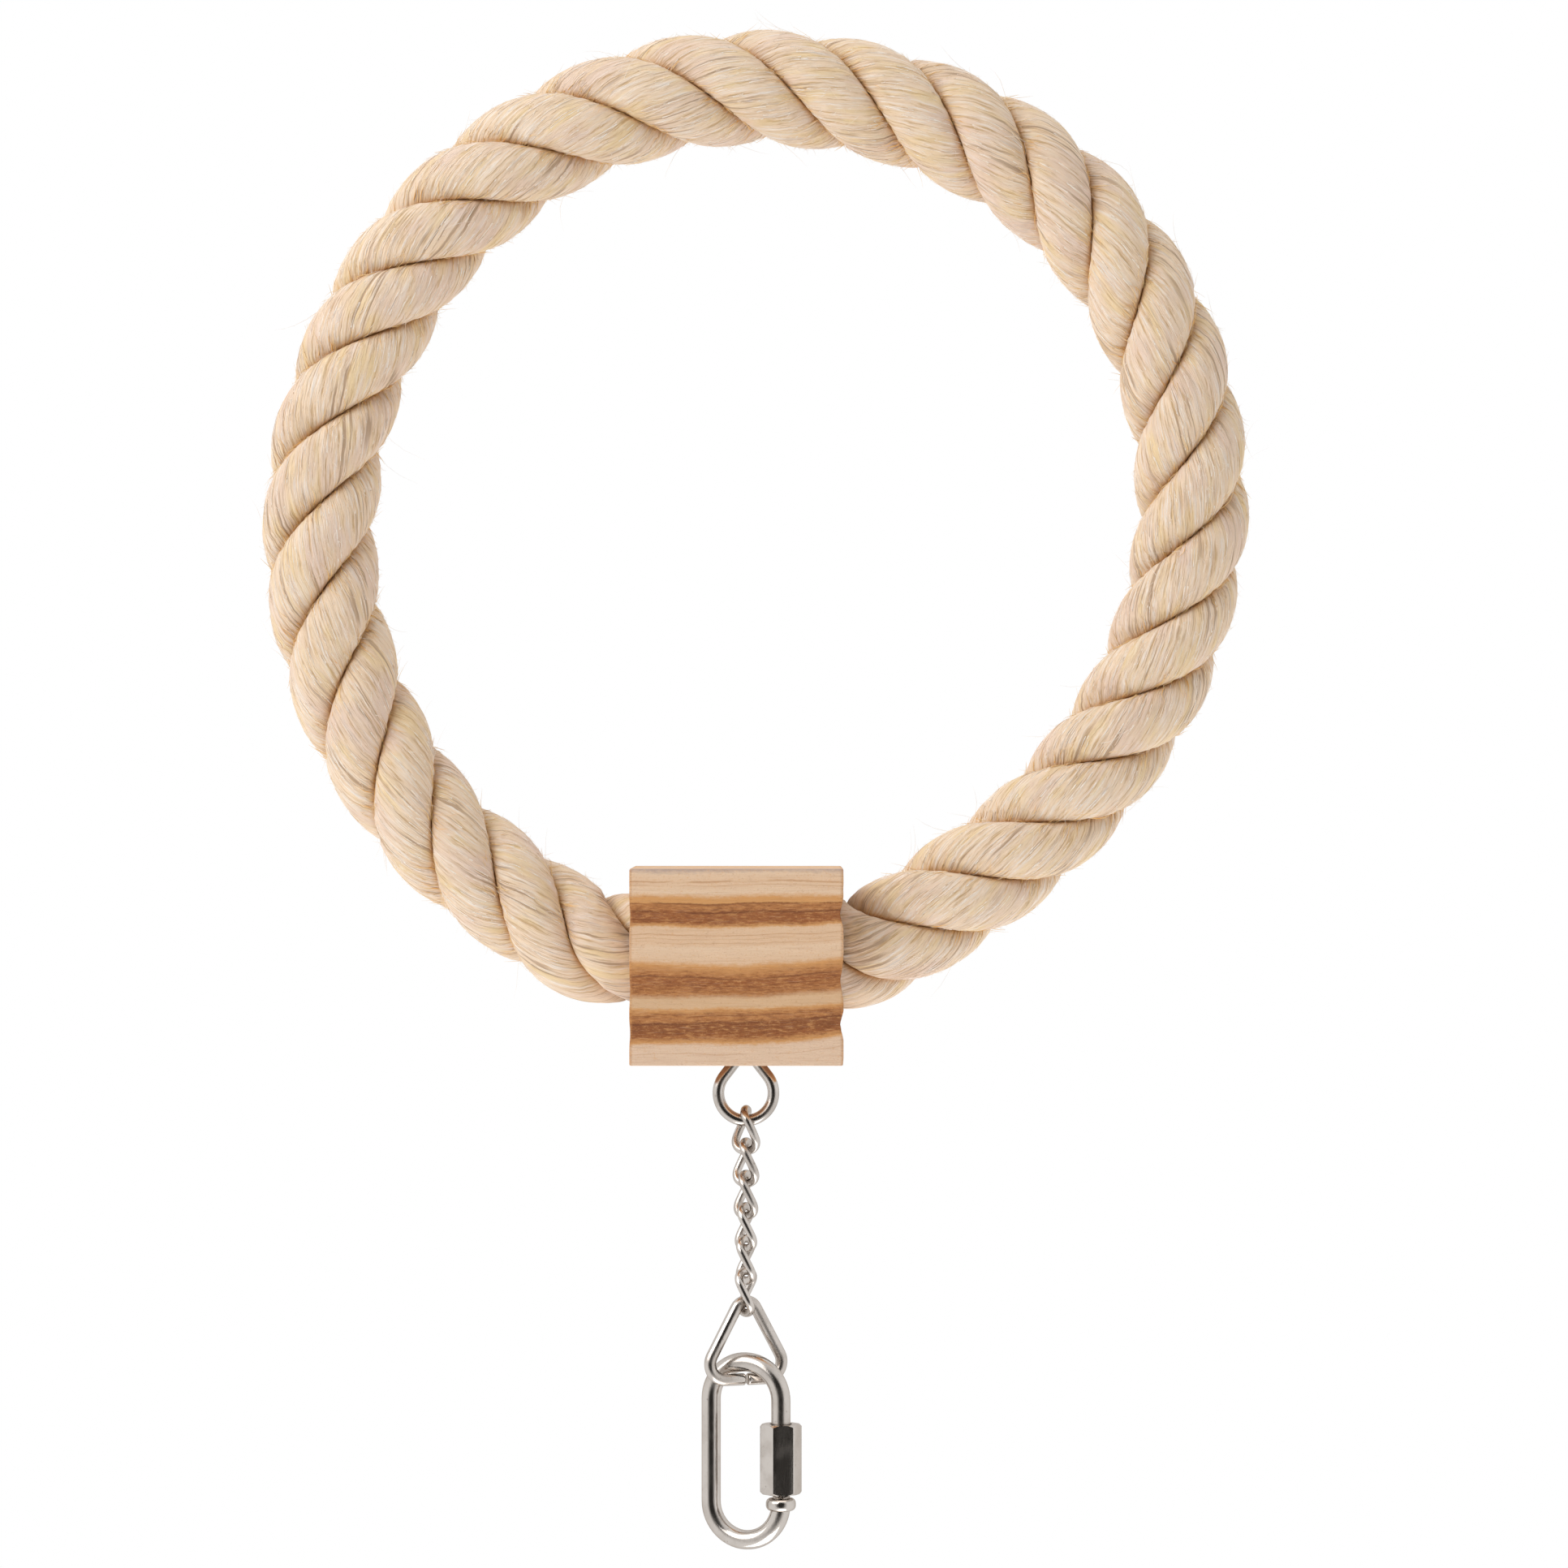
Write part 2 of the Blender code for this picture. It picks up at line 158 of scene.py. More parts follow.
def newMaterial(name, finish):
    material = bpy.data.materials.new(name)
    material.use_nodes = True
    shader = material.node_tree.nodes["Principled BSDF"]
    for socket, value in finish.items():
        shader.inputs[socket].default_value = value
    return material, material.node_tree, shader


def newGroup(name, inputs, outputs):
    group = bpy.data.node_groups.new(name, "ShaderNodeTree")
    for socket, kind in inputs.items():
        group.interface.new_socket(socket, in_out="INPUT", socket_type="NodeSocket" + kind)
    for socket, kind in outputs.items():
        group.interface.new_socket(socket, in_out="OUTPUT", socket_type="NodeSocket" + kind)
    return group, group.nodes.new("NodeGroupInput").outputs, group.nodes.new("NodeGroupOutput").inputs


def bumpOf(tree, height, strength, distance):
    return addNode(tree, "Bump", {"Height": height, "Strength": strength, "Distance": distance}).outputs[0]


# shape helpers

tiny = 1e-6  # metres that count as nothing


def showPiece(name, mesh, material, node, sharp=math.radians(40)):
    mesh.materials.append(material)
    mesh.shade_smooth()
    mesh.set_sharp_from_angle(angle=sharp)
    piece = bpy.data.objects.new(name, mesh)
    bpy.context.scene.collection.objects.link(piece)
    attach(piece, frame["nodes"][node]["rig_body"])
    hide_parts(node)
    print(name, "made with", len(mesh.polygons), "faces")
    return piece


def finishShape(name, shape):
    mesh = bpy.data.meshes.new(name)
    shape.to_mesh(mesh)
    shape.free()
    return mesh


def edgesOf(shape, upright):
    return [edge for edge in shape.edges
            if (abs(edge.verts[0].co.z - edge.verts[1].co.z) > tiny) == upright]


def bevelEdges(shape, edges, offset, segments):
    bmesh.ops.bevel(shape, geom=edges, offset=offset, segments=segments, profile=0.5,
                    affect="EDGES", material=-1)


def roundTool(radius, length, place, alongX=False, sides=72, tip=None):
    shape = bmesh.new()
    bmesh.ops.create_cone(shape, cap_ends=True, segments=sides, radius1=radius if tip is None else tip,
                          radius2=radius, depth=length)
    if alongX:
        bmesh.ops.rotate(shape, verts=shape.verts, matrix=Matrix.Rotation(math.pi / 2, 3, "Y"))
    bmesh.ops.translate(shape, verts=shape.verts, vec=place)
    return shape


def carve(mesh, tools):
    # joins or cuts a mesh with others, each given with its operation
    holder = bpy.data.objects.new("carving", mesh)
    helpers = [holder]
    for operation, shape in tools:
        tool = bpy.data.objects.new("tool", finishShape("tool", shape))
        helpers.append(tool)
        cut = holder.modifiers.new("carve", "BOOLEAN")
        cut.operation = operation
        cut.object = tool
    for helper in helpers:
        bpy.context.scene.collection.objects.link(helper)
    bpy.context.view_layer.update()
    made = bpy.data.meshes.new_from_object(holder.evaluated_get(bpy.context.evaluated_depsgraph_get()))
    for helper in helpers:
        bpy.data.objects.remove(helper)
    made.name = mesh.name
    return made


# cotton rope: three strands laid right-handed, each of yarns that wind the other way

ropeRoute = dict(
    ringDiameter=0.1806,   # along the rope's middle
    flat=0.0014,           # how far the block flattens the ring
    sideShift=-0.0038,     # of the ring's middle from the block's
    departures=(0.0034, 0.0016, 0.0006, -0.0004, -0.0011, -0.0008, -0.0004,
                -0.0001, 0.0014, 0.0019, 0.0004, -0.0019, -0.0038, -0.0019),
    gap=0.0003,            # at the block's mouths and the glue
    pointsPerBend=24,
)
ropeLay = dict(
    diameter=0.0236,
    lay=0.0530,
    # ring angle and count of strand crests on the outer side
    crests=((32.5, 0), (89, 5), (134.5, 9), (181, 13), (226, 17), (269.5, 21), (313, 25), (336, 27)),
    spareCrests=9,               # of the plain lay, past each end of the list
    strands=3,
    grooveDepth=0.0048,
    plumpness=2.1,               # 2 is round, more is flatter with a thinner groove
    grooveGap=math.radians(0.4),
    core=0.0008,
    yarnLean=1.07,               # of the yarns' turn that lies along the rope
    columns=96,
    rings=1000,
    ringsInBlock=50,             # at each end, with some to spare
    outlineSteps=120,
    sectionSteps=720,
    sharp=math.radians(60),
)
ropeRelief = dict(               # heights, how fast each changes, and what sets the strands apart
    bundle=0.00020,
    bundleRound=9,
    bundleAlong=0.012,
    bundleApart=20,
    slow=0.00035,
    slowAlong=40,
    slowApart=3.7,
    slowSeed=1.3,
    edge=0.00085,
    edgeAlong=780,
    edgeRound=14,
    edgeApart=5.1,
    grooveFade=4,                # power by which all relief ends at the groove's bottom
)
ropeHairs = dict(
    points=5,
    seed=12,
    shortening=0.5,              # of a hair's run by its rise
    riseCurve=1.5,
    swayCurve=2,
    waveShare=0.5,
    footWidth=1.15,              # times the thickness, of which the tip keeps what is over 1
    # how many, thickness, shortest, longest, least and most rise, curl, least and most depth in the groove
    rope_fuzz=(
        (4400, 0.00009, 0.0007, 0.0020, 0.25, 0.85, 0.5, 0.0, 0.6),
        (1300, 0.00008, 0.0020, 0.0045, 0.02, 0.20, 0.4, 0.0, 0.97),
        (240, 0.00007, 0.0040, 0.0110, 0.25, 0.75, 0.9, 0.0, 0.6),
    ),
    rope_wisps=(
        (4600, 0.00017, 0.0030, 0.0085, 0.00, 0.03, 0.06, 0.0, 0.8),
    ),
    rope_tufts=(
        (4200, 0.00020, 0.0016, 0.0042, 0.04, 0.30, 0.45, 0.55, 0.97),
        (1400, 0.00009, 0.0020, 0.0055, 0.10, 0.45, 0.70, 0.30, 0.95),
    ),
)
cottonTones = dict(
    cream=(0.86, 0.66, 0.475),
    pale=(0.90, 0.795, 0.70),
    lint=(0.93, 0.865, 0.79),
    straw=(0.85, 0.635, 0.345),
    rose=(0.80, 0.60, 0.495),
    # painted shade: a dark brown for the valleys between fibres, where the bump is lowest
    between=(0.52, 0.31, 0.125),
    greyFibre=(0.49, 0.335, 0.22),
    # painted shade: a darker, warmer tone deep in the grooves between strands
    groove=(0.82, 0.46, 0.15),
)
cottonNoise = dict(              # changes a metre round and along a strand, detail, roughness
    waver=((420, 190, 1), 2.0, 0.5),
    fibres=((1700, 95, 1), 4.0, 0.68),
    tufts=((800, 60, 1), 3.0, 0.5),
    patches=((380, 75, 1), 3.0, 0.5),
    blush=((90, 60, 1), 2.0, 0.5),
    streaks=((1250, 50, 1), 3.0, 0.5),
    bunches=((140, 34, 1), 2.0, 0.5),
    threads=((4200, 150, 1), 2.0, 0.5),
)
cottonBlends = dict(             # where a tone starts and is full, and how far it then covers
    pale=(0.48, 0.68, 1.0),
    straw=(0.47, 0.68, 0.7),
    rose=(0.46, 0.68, 0.65),
    # the between blend lays the painted fibre shade where the fibre noise, and so the bump, is low
    between=(0.48, 0.34, 0.7),
    streaks=(0.52, 0.62, 0.95),
    bunches=(0.49, 0.59, 1.0),
    # the groove blend lays the painted groove shade by how deep in the groove a point lies
    groove=(0.45, 1.0, 0.9),
    hairLight=(0.2, 0.5, 1.0),
    hairBetween=(0.80, 0.84, 0.8),
    hairGrey=(0.94, 0.96, 0.8),
)
cottonFinish = {"Roughness": 0.92, "Sheen Weight": 0.12, "Sheen Roughness": 0.5, "Specular IOR Level": 0.25}
hairFinish = {"Roughness": 0.9, "Specular IOR Level": 0.2}
cottonBump = dict(strength=0.85, distance=0.0006, threads=0.5, waver=0.0009)


def evenPoints(points, count):
    lengths = [0.0]
    for first, second in zip(points, points[1:]):
        lengths.append(lengths[-1] + (second - first).length)
    made = []
    k = 0
    for index in range(count + 1):
        along = lengths[-1] * index / count
        while k < len(points) - 2 and lengths[k + 1] < along:
            k += 1
        made.append(points[k].lerp(points[k + 1], (along - lengths[k]) / (lengths[k + 1] - lengths[k])))
    return made, lengths[-1]


def ringMiddle():
    plugLow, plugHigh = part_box("glue_plug_left")
    boreLine = (plugLow.z + plugHigh.z) / 2
    x = blockMiddle.x + ropeRoute["sideShift"]
    return Vector((x, 0, boreLine - ropeRoute["ringDiameter"] / 2 + ropeRoute["flat"])), boreLine


def ropePath():
    # out of the block on its +X side, round the listed ring and into the other side
    middle, boreLine = ringMiddle()
    step = 2 * math.pi / (len(ropeRoute["departures"]) + 1)
    radius = ropeRoute["ringDiameter"] / 2
    ring = [middle + Matrix.Rotation(step * (k + 1), 3, "Y") @ Vector((0, 0, radius + away))
            for k, away in enumerate(ropeRoute["departures"])]
    right = Vector((blockHigh.x + ropeRoute["gap"], 0, boreLine))
    left = Vector((blockLow.x - ropeRoute["gap"], 0, boreLine))
    knots = [right, *ring, left]
    ways = [Vector((1, 0, 0))]
    ways += [(knots[k + 1] - knots[k - 1]).normalized() for k in range(1, len(knots) - 1)]
    ways += [Vector((1, 0, 0))]
    points = [Vector((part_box("glue_plug_right")[1].x + ropeRoute["gap"], 0, boreLine))]
    for k in range(len(knots) - 1):
        reach = (knots[k + 1] - knots[k]).length / 3
        points += interpolate_bezier(knots[k], knots[k] + ways[k] * reach, knots[k + 1] - ways[k + 1] * reach,
                                     knots[k + 1], ropeRoute["pointsPerBend"])[:-1]
    points += [left, Vector((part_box("glue_plug_left")[0].x - ropeRoute["gap"], 0, boreLine))]
    return evenPoints(points, ropeLay["rings"])


def strandSection():
    # outline of one pressed strand, with its crest on +X and the rope's axis at 0, evenly spaced
    crest = ropeLay["diameter"] / 2
    half = math.pi / ropeLay["strands"] - ropeLay["grooveGap"]
    steps = ropeLay["outlineSteps"]
    outline = []
    for step in range(steps + 1):
        side = math.sin(math.pi * (step / steps - 0.5))
        rise = (1 - abs(side) ** ropeLay["plumpness"]) ** (1 / ropeLay["plumpness"])
        radius = crest - ropeLay["grooveDepth"] * (1 - rise)
        outline.append(Matrix.Rotation(half * side, 2) @ Vector((radius, 0)))
    outline.append(Matrix.Rotation(half, 2) @ Vector((ropeLay["core"], 0)))
    outline.append(Matrix.Rotation(-half, 2) @ Vector((ropeLay["core"], 0)))
    outline.append(outline[0])
    return evenPoints(outline, ropeLay["sectionSteps"])


ropePoints, ropeLength = ropePath()
sectionPoints, sectionEdge = strandSection()
ropeTangents = [(ropePoints[min(k + 1, len(ropePoints) - 1)] - ropePoints[max(k - 1, 0)]).normalized()
                for k in range(len(ropePoints))]


def crestLengths():
    # how far along the rope the listed crests lie, with some of the plain lay at each end
    middle = ringMiddle()[0]
    angles = [math.degrees(math.atan2((point - middle).x, (point - middle).z)) % 360 for point in ropePoints]
    inRing = range(ropeLay["ringsInBlock"], ropeLay["rings"] - ropeLay["ringsInBlock"])
    found = []
    for wanted, count in ropeLay["crests"]:
        nearest = min(inRing, key=lambda k: abs(angles[k] - wanted))
        found.append((ropeLength * nearest / ropeLay["rings"], count))
    spare = ropeLay["spareCrests"]
    spareLength = spare * ropeLay["lay"] / ropeLay["strands"]
    (first, firstCount), (last, lastCount) = found[0], found[-1]
    return [(first - spareLength, firstCount - spare), *found, (last + spareLength, lastCount + spare)]


crestTable = crestLengths()


def strandTurn(along):
    for (start, startCount), (end, endCount) in zip(crestTable, crestTable[1:]):
        if along <= end:
            break
    count = startCount + (endCount - startCount) * (along - start) / (end - start)
    return 2 * math.pi * count / ropeLay["strands"]


# shares of the outline that a yarn goes round in a metre
yarnWind = math.pi * ropeLay["diameter"] / ropeLay["lay"] * ropeLay["yarnLean"] / sectionEdge


def yarnShare(column, ring):
    # where round its strand a yarn lies, as a share of the outline
    return (column / ropeLay["columns"] - ropeLength * ring / ropeLay["rings"] * yarnWind) % 1.0


def strandPoint(strand, share, ring, bundle=0.0):
    # a point on a strand and how deep in the groove it is
    relief = ropeRelief
    near = share * ropeLay["sectionSteps"]
    flat = sectionPoints[int(near)].lerp(sectionPoints[int(near) + 1], near - int(near))
    along = ropeLength * ring / ropeLay["rings"]
    before = min(int(ring), ropeLay["rings"] - 1)
    turn = strandTurn(along) + 2 * math.pi * strand / ropeLay["strands"]
    depth = min(1.0, (ropeLay["diameter"] / 2 - flat.length) / ropeLay["grooveDepth"])
    slow = noise.noise(Vector((along * relief["slowAlong"], strand * relief["slowApart"],
                               relief["slowSeed"])))
    ragged = noise.noise(Vector((along * relief["edgeAlong"], share * relief["edgeRound"],
                                 strand * relief["edgeApart"])))
    height = bundle * relief["bundle"] + slow * relief["slow"] + ragged * relief["edge"] * depth
    flat = flat * (1 + height * (1 - depth ** relief["grooveFade"]) / flat.length)
    flat = Matrix.Rotation(turn, 2) @ flat
    tangent = ropeTangents[before].lerp(ropeTangents[before + 1], ring - before)
    outward = tangent.cross(Vector((0, 1, 0)))
    across = tangent.cross(outward)
    middle = ropePoints[before].lerp(ropePoints[before + 1], ring - before)
    return middle + outward * flat.x + across * flat.y, depth


def makeStrand(strand, material):
    columns, rings = ropeLay["columns"], ropeLay["rings"]
    shape = bmesh.new()
    bmesh.ops.create_grid(shape, x_segments=columns, y_segments=rings, size=0.5)
    # how deep in the groove each point lies, which the cotton material uses to paint shade
    groove = shape.verts.layers.float.new("groove")
    fibre = shape.loops.layers.uv.new("fibre")
    seam = []
    for vert in shape.verts:
        column, ring = round((vert.co.x + 0.5) * columns), round((vert.co.y + 0.5) * rings)
        for corner in vert.link_loops:
            corner[fibre].uv = (sectionEdge * column / columns + strand, ropeLength * ring / rings)
        if column in (0, columns):
            seam.append(vert)
        angle = 2 * math.pi * (column % columns) / columns
        bundle = noise.noise(Vector((math.cos(angle) * ropeRelief["bundleRound"],
                                     math.sin(angle) * ropeRelief["bundleRound"],
                                     ring * ropeRelief["bundleAlong"] + strand * ropeRelief["bundleApart"])))
        vert.co, vert[groove] = strandPoint(strand, yarnShare(column % columns, ring), ring, bundle)
    bmesh.ops.remove_doubles(shape, verts=seam, dist=tiny)
    bmesh.ops.holes_fill(shape, edges=[edge for edge in shape.edges if edge.is_boundary], sides=0)
    bmesh.ops.recalc_face_normals(shape, faces=shape.faces)
    name = f"rope_strand_{strand + 1}"
    return showPiece(name, finishShape(name, shape), material, "rope_ring", ropeLay["sharp"])


def growHair(spline, chance, sort):
    # one hair that follows its yarn, then rises off the strand; false where its foot is at another depth
    thickness, shortest, longest, leastRise, mostRise, curl, shallowest, deepest = sort[1:]
    strand = chance.randrange(ropeLay["strands"])
    ring = chance.uniform(ropeLay["ringsInBlock"], ropeLay["rings"] - ropeLay["ringsInBlock"])
    share = chance.random()
    depth = strandPoint(strand, share, ring)[1]
    if not shallowest <= depth <= deepest:
        return False
    length = chance.uniform(shortest, longest) * chance.choice((-1, 1))
    rise = chance.uniform(leastRise, mostRise)
    sway = chance.uniform(-curl, curl)
    wave = chance.uniform(-curl, curl) * ropeHairs["waveShare"]
    for step, point in enumerate(spline.points):
        reach = step / (len(spline.points) - 1)
        run = length * reach * (1 - ropeHairs["shortening"] * rise * reach)
        rings = run / ropeLength * ropeLay["rings"]
        place = strandPoint(strand, (share - yarnWind * run) % 1.0, ring + rings)[0]
        lift = (place - ropePoints[int(ring + rings)]).normalized()
        side = ropeTangents[int(ring)].cross(lift)
        place += lift * (abs(length) * rise * reach ** ropeHairs["riseCurve"])
        place += side * length * (sway * reach ** ropeHairs["swayCurve"] + wave * math.sin(reach * math.pi))
        point.co = (*place, 1)
        point.radius = thickness / 2 * (ropeHairs["footWidth"] - reach)
    return True


def makeHairs(name, material):
    chance = random.Random(ropeHairs["seed"])
    curve = bpy.data.curves.new(name, "CURVE")
    curve.dimensions = "3D"
    curve.bevel_depth = 1.0
    curve.bevel_resolution = 0
    for sort in ropeHairs[name]:
        for _ in range(sort[0]):
            spline = curve.splines.new("POLY")
            spline.points.add(ropeHairs["points"] - 1)
            while not growHair(spline, chance, sort):
                pass
    holder = bpy.data.objects.new("hair_curve", curve)
    bpy.context.scene.collection.objects.link(holder)
    bpy.context.view_layer.update()
    mesh = bpy.data.meshes.new_from_object(holder.evaluated_get(bpy.context.evaluated_depsgraph_get()))
    bpy.data.objects.remove(holder)
    mesh.name = name
    mesh.materials.clear()
    howMany = sum(sort[0] for sort in ropeHairs[name])
    tones = [chance.random() for _ in range(len(mesh.vertices) // howMany * howMany)]
    mesh.attributes.new("tone", "FLOAT", "POINT").data.foreach_set("value", tones)
    return showPiece(name, mesh, material, "rope_ring")


def cottonMaterial():
    material, tree, shader = newMaterial("cotton_rope", cottonFinish)
    fibre = addNode(tree, "UVMap", uv_map="fibre").outputs[0]
    deep = addNode(tree, "Attribute", attribute_name="groove").outputs["Fac"]
    waver = swayOf(tree, noiseOf(tree, fibre, *cottonNoise["waver"]), cottonBump["waver"])
    waver = addNode(tree, "CombineXYZ", {0: waver}).outputs[0]
    fibre = addNode(tree, "VectorMath", {0: fibre, 1: waver}, operation="ADD").outputs[0]
    grain = {name: noiseOf(tree, fibre, *cottonNoise[name])
             for name in ("fibres", "tufts", "patches", "blush", "streaks", "bunches", "threads")}
    greyed = sums(tree, "MULTIPLY", ease(tree, grain["streaks"], *cottonBlends["streaks"]),
                  ease(tree, grain["bunches"], *cottonBlends["bunches"]))
    colour = mixColours(tree, ease(tree, grain["fibres"], *cottonBlends["pale"]),
                        cottonTones["cream"], cottonTones["pale"])
    # the between tone paints shade into the low places between fibres
    for source, tone in (("patches", "straw"), ("blush", "rose"), ("fibres", "between")):
        colour = mixColours(tree, ease(tree, grain[source], *cottonBlends[tone]), colour, cottonTones[tone])
    colour = mixColours(tree, greyed, colour, cottonTones["greyFibre"])
    # painted shade: darker, warmer colour towards the bottom of each groove
    colour = mixColours(tree, ease(tree, deep, *cottonBlends["groove"]), colour, cottonTones["groove"])
    tree.links.new(colour, shader.inputs["Base Color"])
    height = sums(tree, "ADD", sums(tree, "ADD", grain["fibres"], grain["tufts"]),
                  sums(tree, "MULTIPLY", grain["threads"], cottonBump["threads"]))
    bump = bumpOf(tree, height, cottonBump["strength"], cottonBump["distance"])
    tree.links.new(bump, shader.inputs["Normal"])
    return material


def fuzzMaterial(name, common, lightest):
    material, tree, shader = newMaterial(name, hairFinish)
    tone = addNode(tree, "Attribute", attribute_name="tone").outputs["Fac"]
    colour = mixColours(tree, ease(tree, tone, *cottonBlends["hairLight"]),
                        cottonTones[common], cottonTones[lightest])
    colour = mixColours(tree, ease(tree, tone, *cottonBlends["hairBetween"]), colour, cottonTones["between"])
    colour = mixColours(tree, ease(tree, tone, *cottonBlends["hairGrey"]), colour, cottonTones["greyFibre"])
    tree.links.new(colour, shader.inputs["Base Color"])
    return material


cotton = cottonMaterial()
strands = [makeStrand(strand, cotton) for strand in range(ropeLay["strands"])]
hairCotton = fuzzMaterial("cotton_fuzz", "cream", "lint")
# the tufts, which lie mostly in the grooves, take the painted groove shade as their common colour
tuftCotton = fuzzMaterial("cotton_tuft", "groove", "straw")
hairs = [makeHairs("rope_fuzz", hairCotton), makeHairs("rope_wisps", hairCotton),
         makeHairs("rope_tufts", tuftCotton)]
print("rope laid:", round(ropeLength, 4), "m")


# wood block: a brushed and scorched length of batten, bored for the rope and the screw eye

woodBlock = dict(
    cuts=110,
    edge=0.0003,
    bandDepth=0.0005,
    softBands=((0.0066, 0.0036), (0.0158, 0.0046), (0.0306, 0.0042)),  # drop from the eye's face, half width
    riseAtEnd=0.0015,             # how far the bands climb at the -X end
    riseFade=(0.036, 0.022),      # drops between which they start to
    waves=(70, 30, 60),           # changes a metre of the bands' slow waves
    ripple=0.00025,
    ripples=(120, 60, 1500),      # changes a metre along x and y and with the drop
    rippleOnHard=0.3,             # share of the ripple outside the soft bands
    frontPower=12,                # keeps the brushing to the front and the back
    endPower=24,                  # keeps the wear to the two ends
    endWear=(0.00060, 0.00015),   # at the -X end and the +X end
    endRough=0.3,
    endRoughness=(3.1, 90, 420),  # its place in the noise, then changes a metre
    bore=0.0121,
    socket=0.0172,
    eyeHole=0.0015,
    eyeHoleDepth=0.0200,
    recessMouth=0.0039,
    recessLean=math.radians(37.8),
    sharp=math.radians(50),
)
woodTones = dict(
    pale=(0.80, 0.58, 0.40),
    blush=(0.77, 0.555, 0.395),
    tan=(0.765, 0.525, 0.34),
    honey=(0.70, 0.46, 0.27),
    orange=(0.66, 0.33, 0.12),
    brown=(0.44, 0.178, 0.058),
    scorch=(0.335, 0.113, 0.035),
    char=(0.27, 0.09, 0.028),
    line=(0.19, 0.062, 0.022),
    # painted shade: a dull greyish tone for the block's underside
    undersideShade=(0.50, 0.37, 0.31),
)
woodBands = (  # drop from the eye's face in millimetres
    (0.0, "blush"), (4.3, "blush"), (5.0, "orange"), (6.3, "scorch"), (7.6, "char"), (8.9, "char"),
    (9.4, "brown"), (10.6, "brown"), (11.5, "orange"), (12.0, "honey"), (13.8, "honey"), (15.1, "brown"),
    (17.5, "scorch"), (18.6, "brown"), (20.4, "orange"), (21.3, "tan"), (24.1, "pale"),
    (24.5, "tan"), (28.0, "tan"), (28.5, "orange"), (29.3, "scorch"), (31.7, "scorch"), (32.0, "brown"),
    (33.0, "brown"), (33.4, "orange"), (34.3, "orange"), (35.4, "pale"), (37.8, "tan"), (39.2, "pale"),
    # the stop at 40.2 mm paints shade, a greyish tone along the block's underside and its lower edges
    (40.2, "undersideShade"), (42.5, "tan"), (47.0, "honey"),
)
woodLines = (  # drop and half width in millimetres, strength, tone
    (2.6, 0.15, 0.3, "brown"), (8.9, 0.34, 0.9, "line"), (10.3, 0.20, 0.5, "line"),
    (16.8, 0.20, 0.5, "line"), (18.2, 0.28, 0.7, "line"), (24.9, 0.18, 0.35, "brown"),
    (25.7, 0.15, 0.3, "brown"), (26.5, 0.20, 0.45, "brown"), (31.6, 0.34, 0.9, "line"),
    (33.2, 0.28, 0.75, "line"), (36.9, 0.20, 0.3, "brown"), (37.7, 0.30, 0.5, "brown"),
)
woodNoise = dict(                 # changes a metre along x, y and z, detail, roughness
    slow=((60, 60, 90), 2.0, 0.5),
    ragged=((800, 800, 2000), 4.0, 0.7),
    grain=((70, 2600, 5200), 3.0, 0.65),
    fibres=((260, 4500, 9000), 2.0, 0.5),
    mottles=((480, 900, 2100), 4.0, 0.74),
    breaks=((110, 500, 900), 2.0, 0.5),
    flecks=((1500, 1500, 2600), 3.0, 0.7),
    pores=((300, 3800, 3800), 2.0, 0.5),
)
woodBlends = dict(                # where a tone starts and is full, and how far it then covers
    grain=(0.5, 0.74, 0.3),
    fibres=(0.55, 0.75, 0.22),
    charred=(0.40, 0.20, 1.0),
    lifted=(0.50, 0.66, 0.6),
    burnt=(0.50, 0.36, 0.6),
    unbroken=(0.34, 0.50, 1.0),
    orangeFlecks=(0.54, 0.72, 0.4),
    brownFlecks=(0.44, 0.28, 0.3),
    pores=(0.4, 0.65, 1.0),
)
woodGrain = dict(
    ringArc=0.0065,               # how far a growth ring bows between the front and the back
    slowSway=0.0022,
    raggedSway=0.0014,
    lineSway=0.25,                # share of the ragged sway that the thin lines have
    endStart=0.0007,              # distances from the ends between which end grain sets in
    endFull=0.0003,
    endCover=0.45,
    bumpStrength=0.55,
    bumpDistance=0.0004,
    bumpFibres=0.6,
)
woodFinish = {"Roughness": 0.72, "Specular IOR Level": 0.3}
glueTones = dict(dark=(0.62, 0.46, 0.2), light=(0.72, 0.6, 0.36))
glueLook = dict(
    clouds=((260, 260, 260), 3.0),
    bubbles=((1800, 1800, 1800), 2.0),
    blend=(0.35, 0.65),
    bumpStrength=0.4,
    bumpDistance=0.0003,
)
glueFinish = {"Roughness": 0.4}


def bandDrop(point):
    # drop from the eye's face with the grain's slow waves
    share = max(0.0, (blockMiddle.x - point.x) / (blockHigh.x - blockLow.x) * 2)
    wave = noise.noise(point * Vector(woodBlock["waves"])) * woodBlock["ripple"] * 2
    drop = blockHigh.z - point.z
    none, full = woodBlock["riseFade"]
    rise = woodBlock["riseAtEnd"] * min(1.0, max(0.0, (drop - none) / (full - none)))
    return drop - rise * share ** 2 + wave


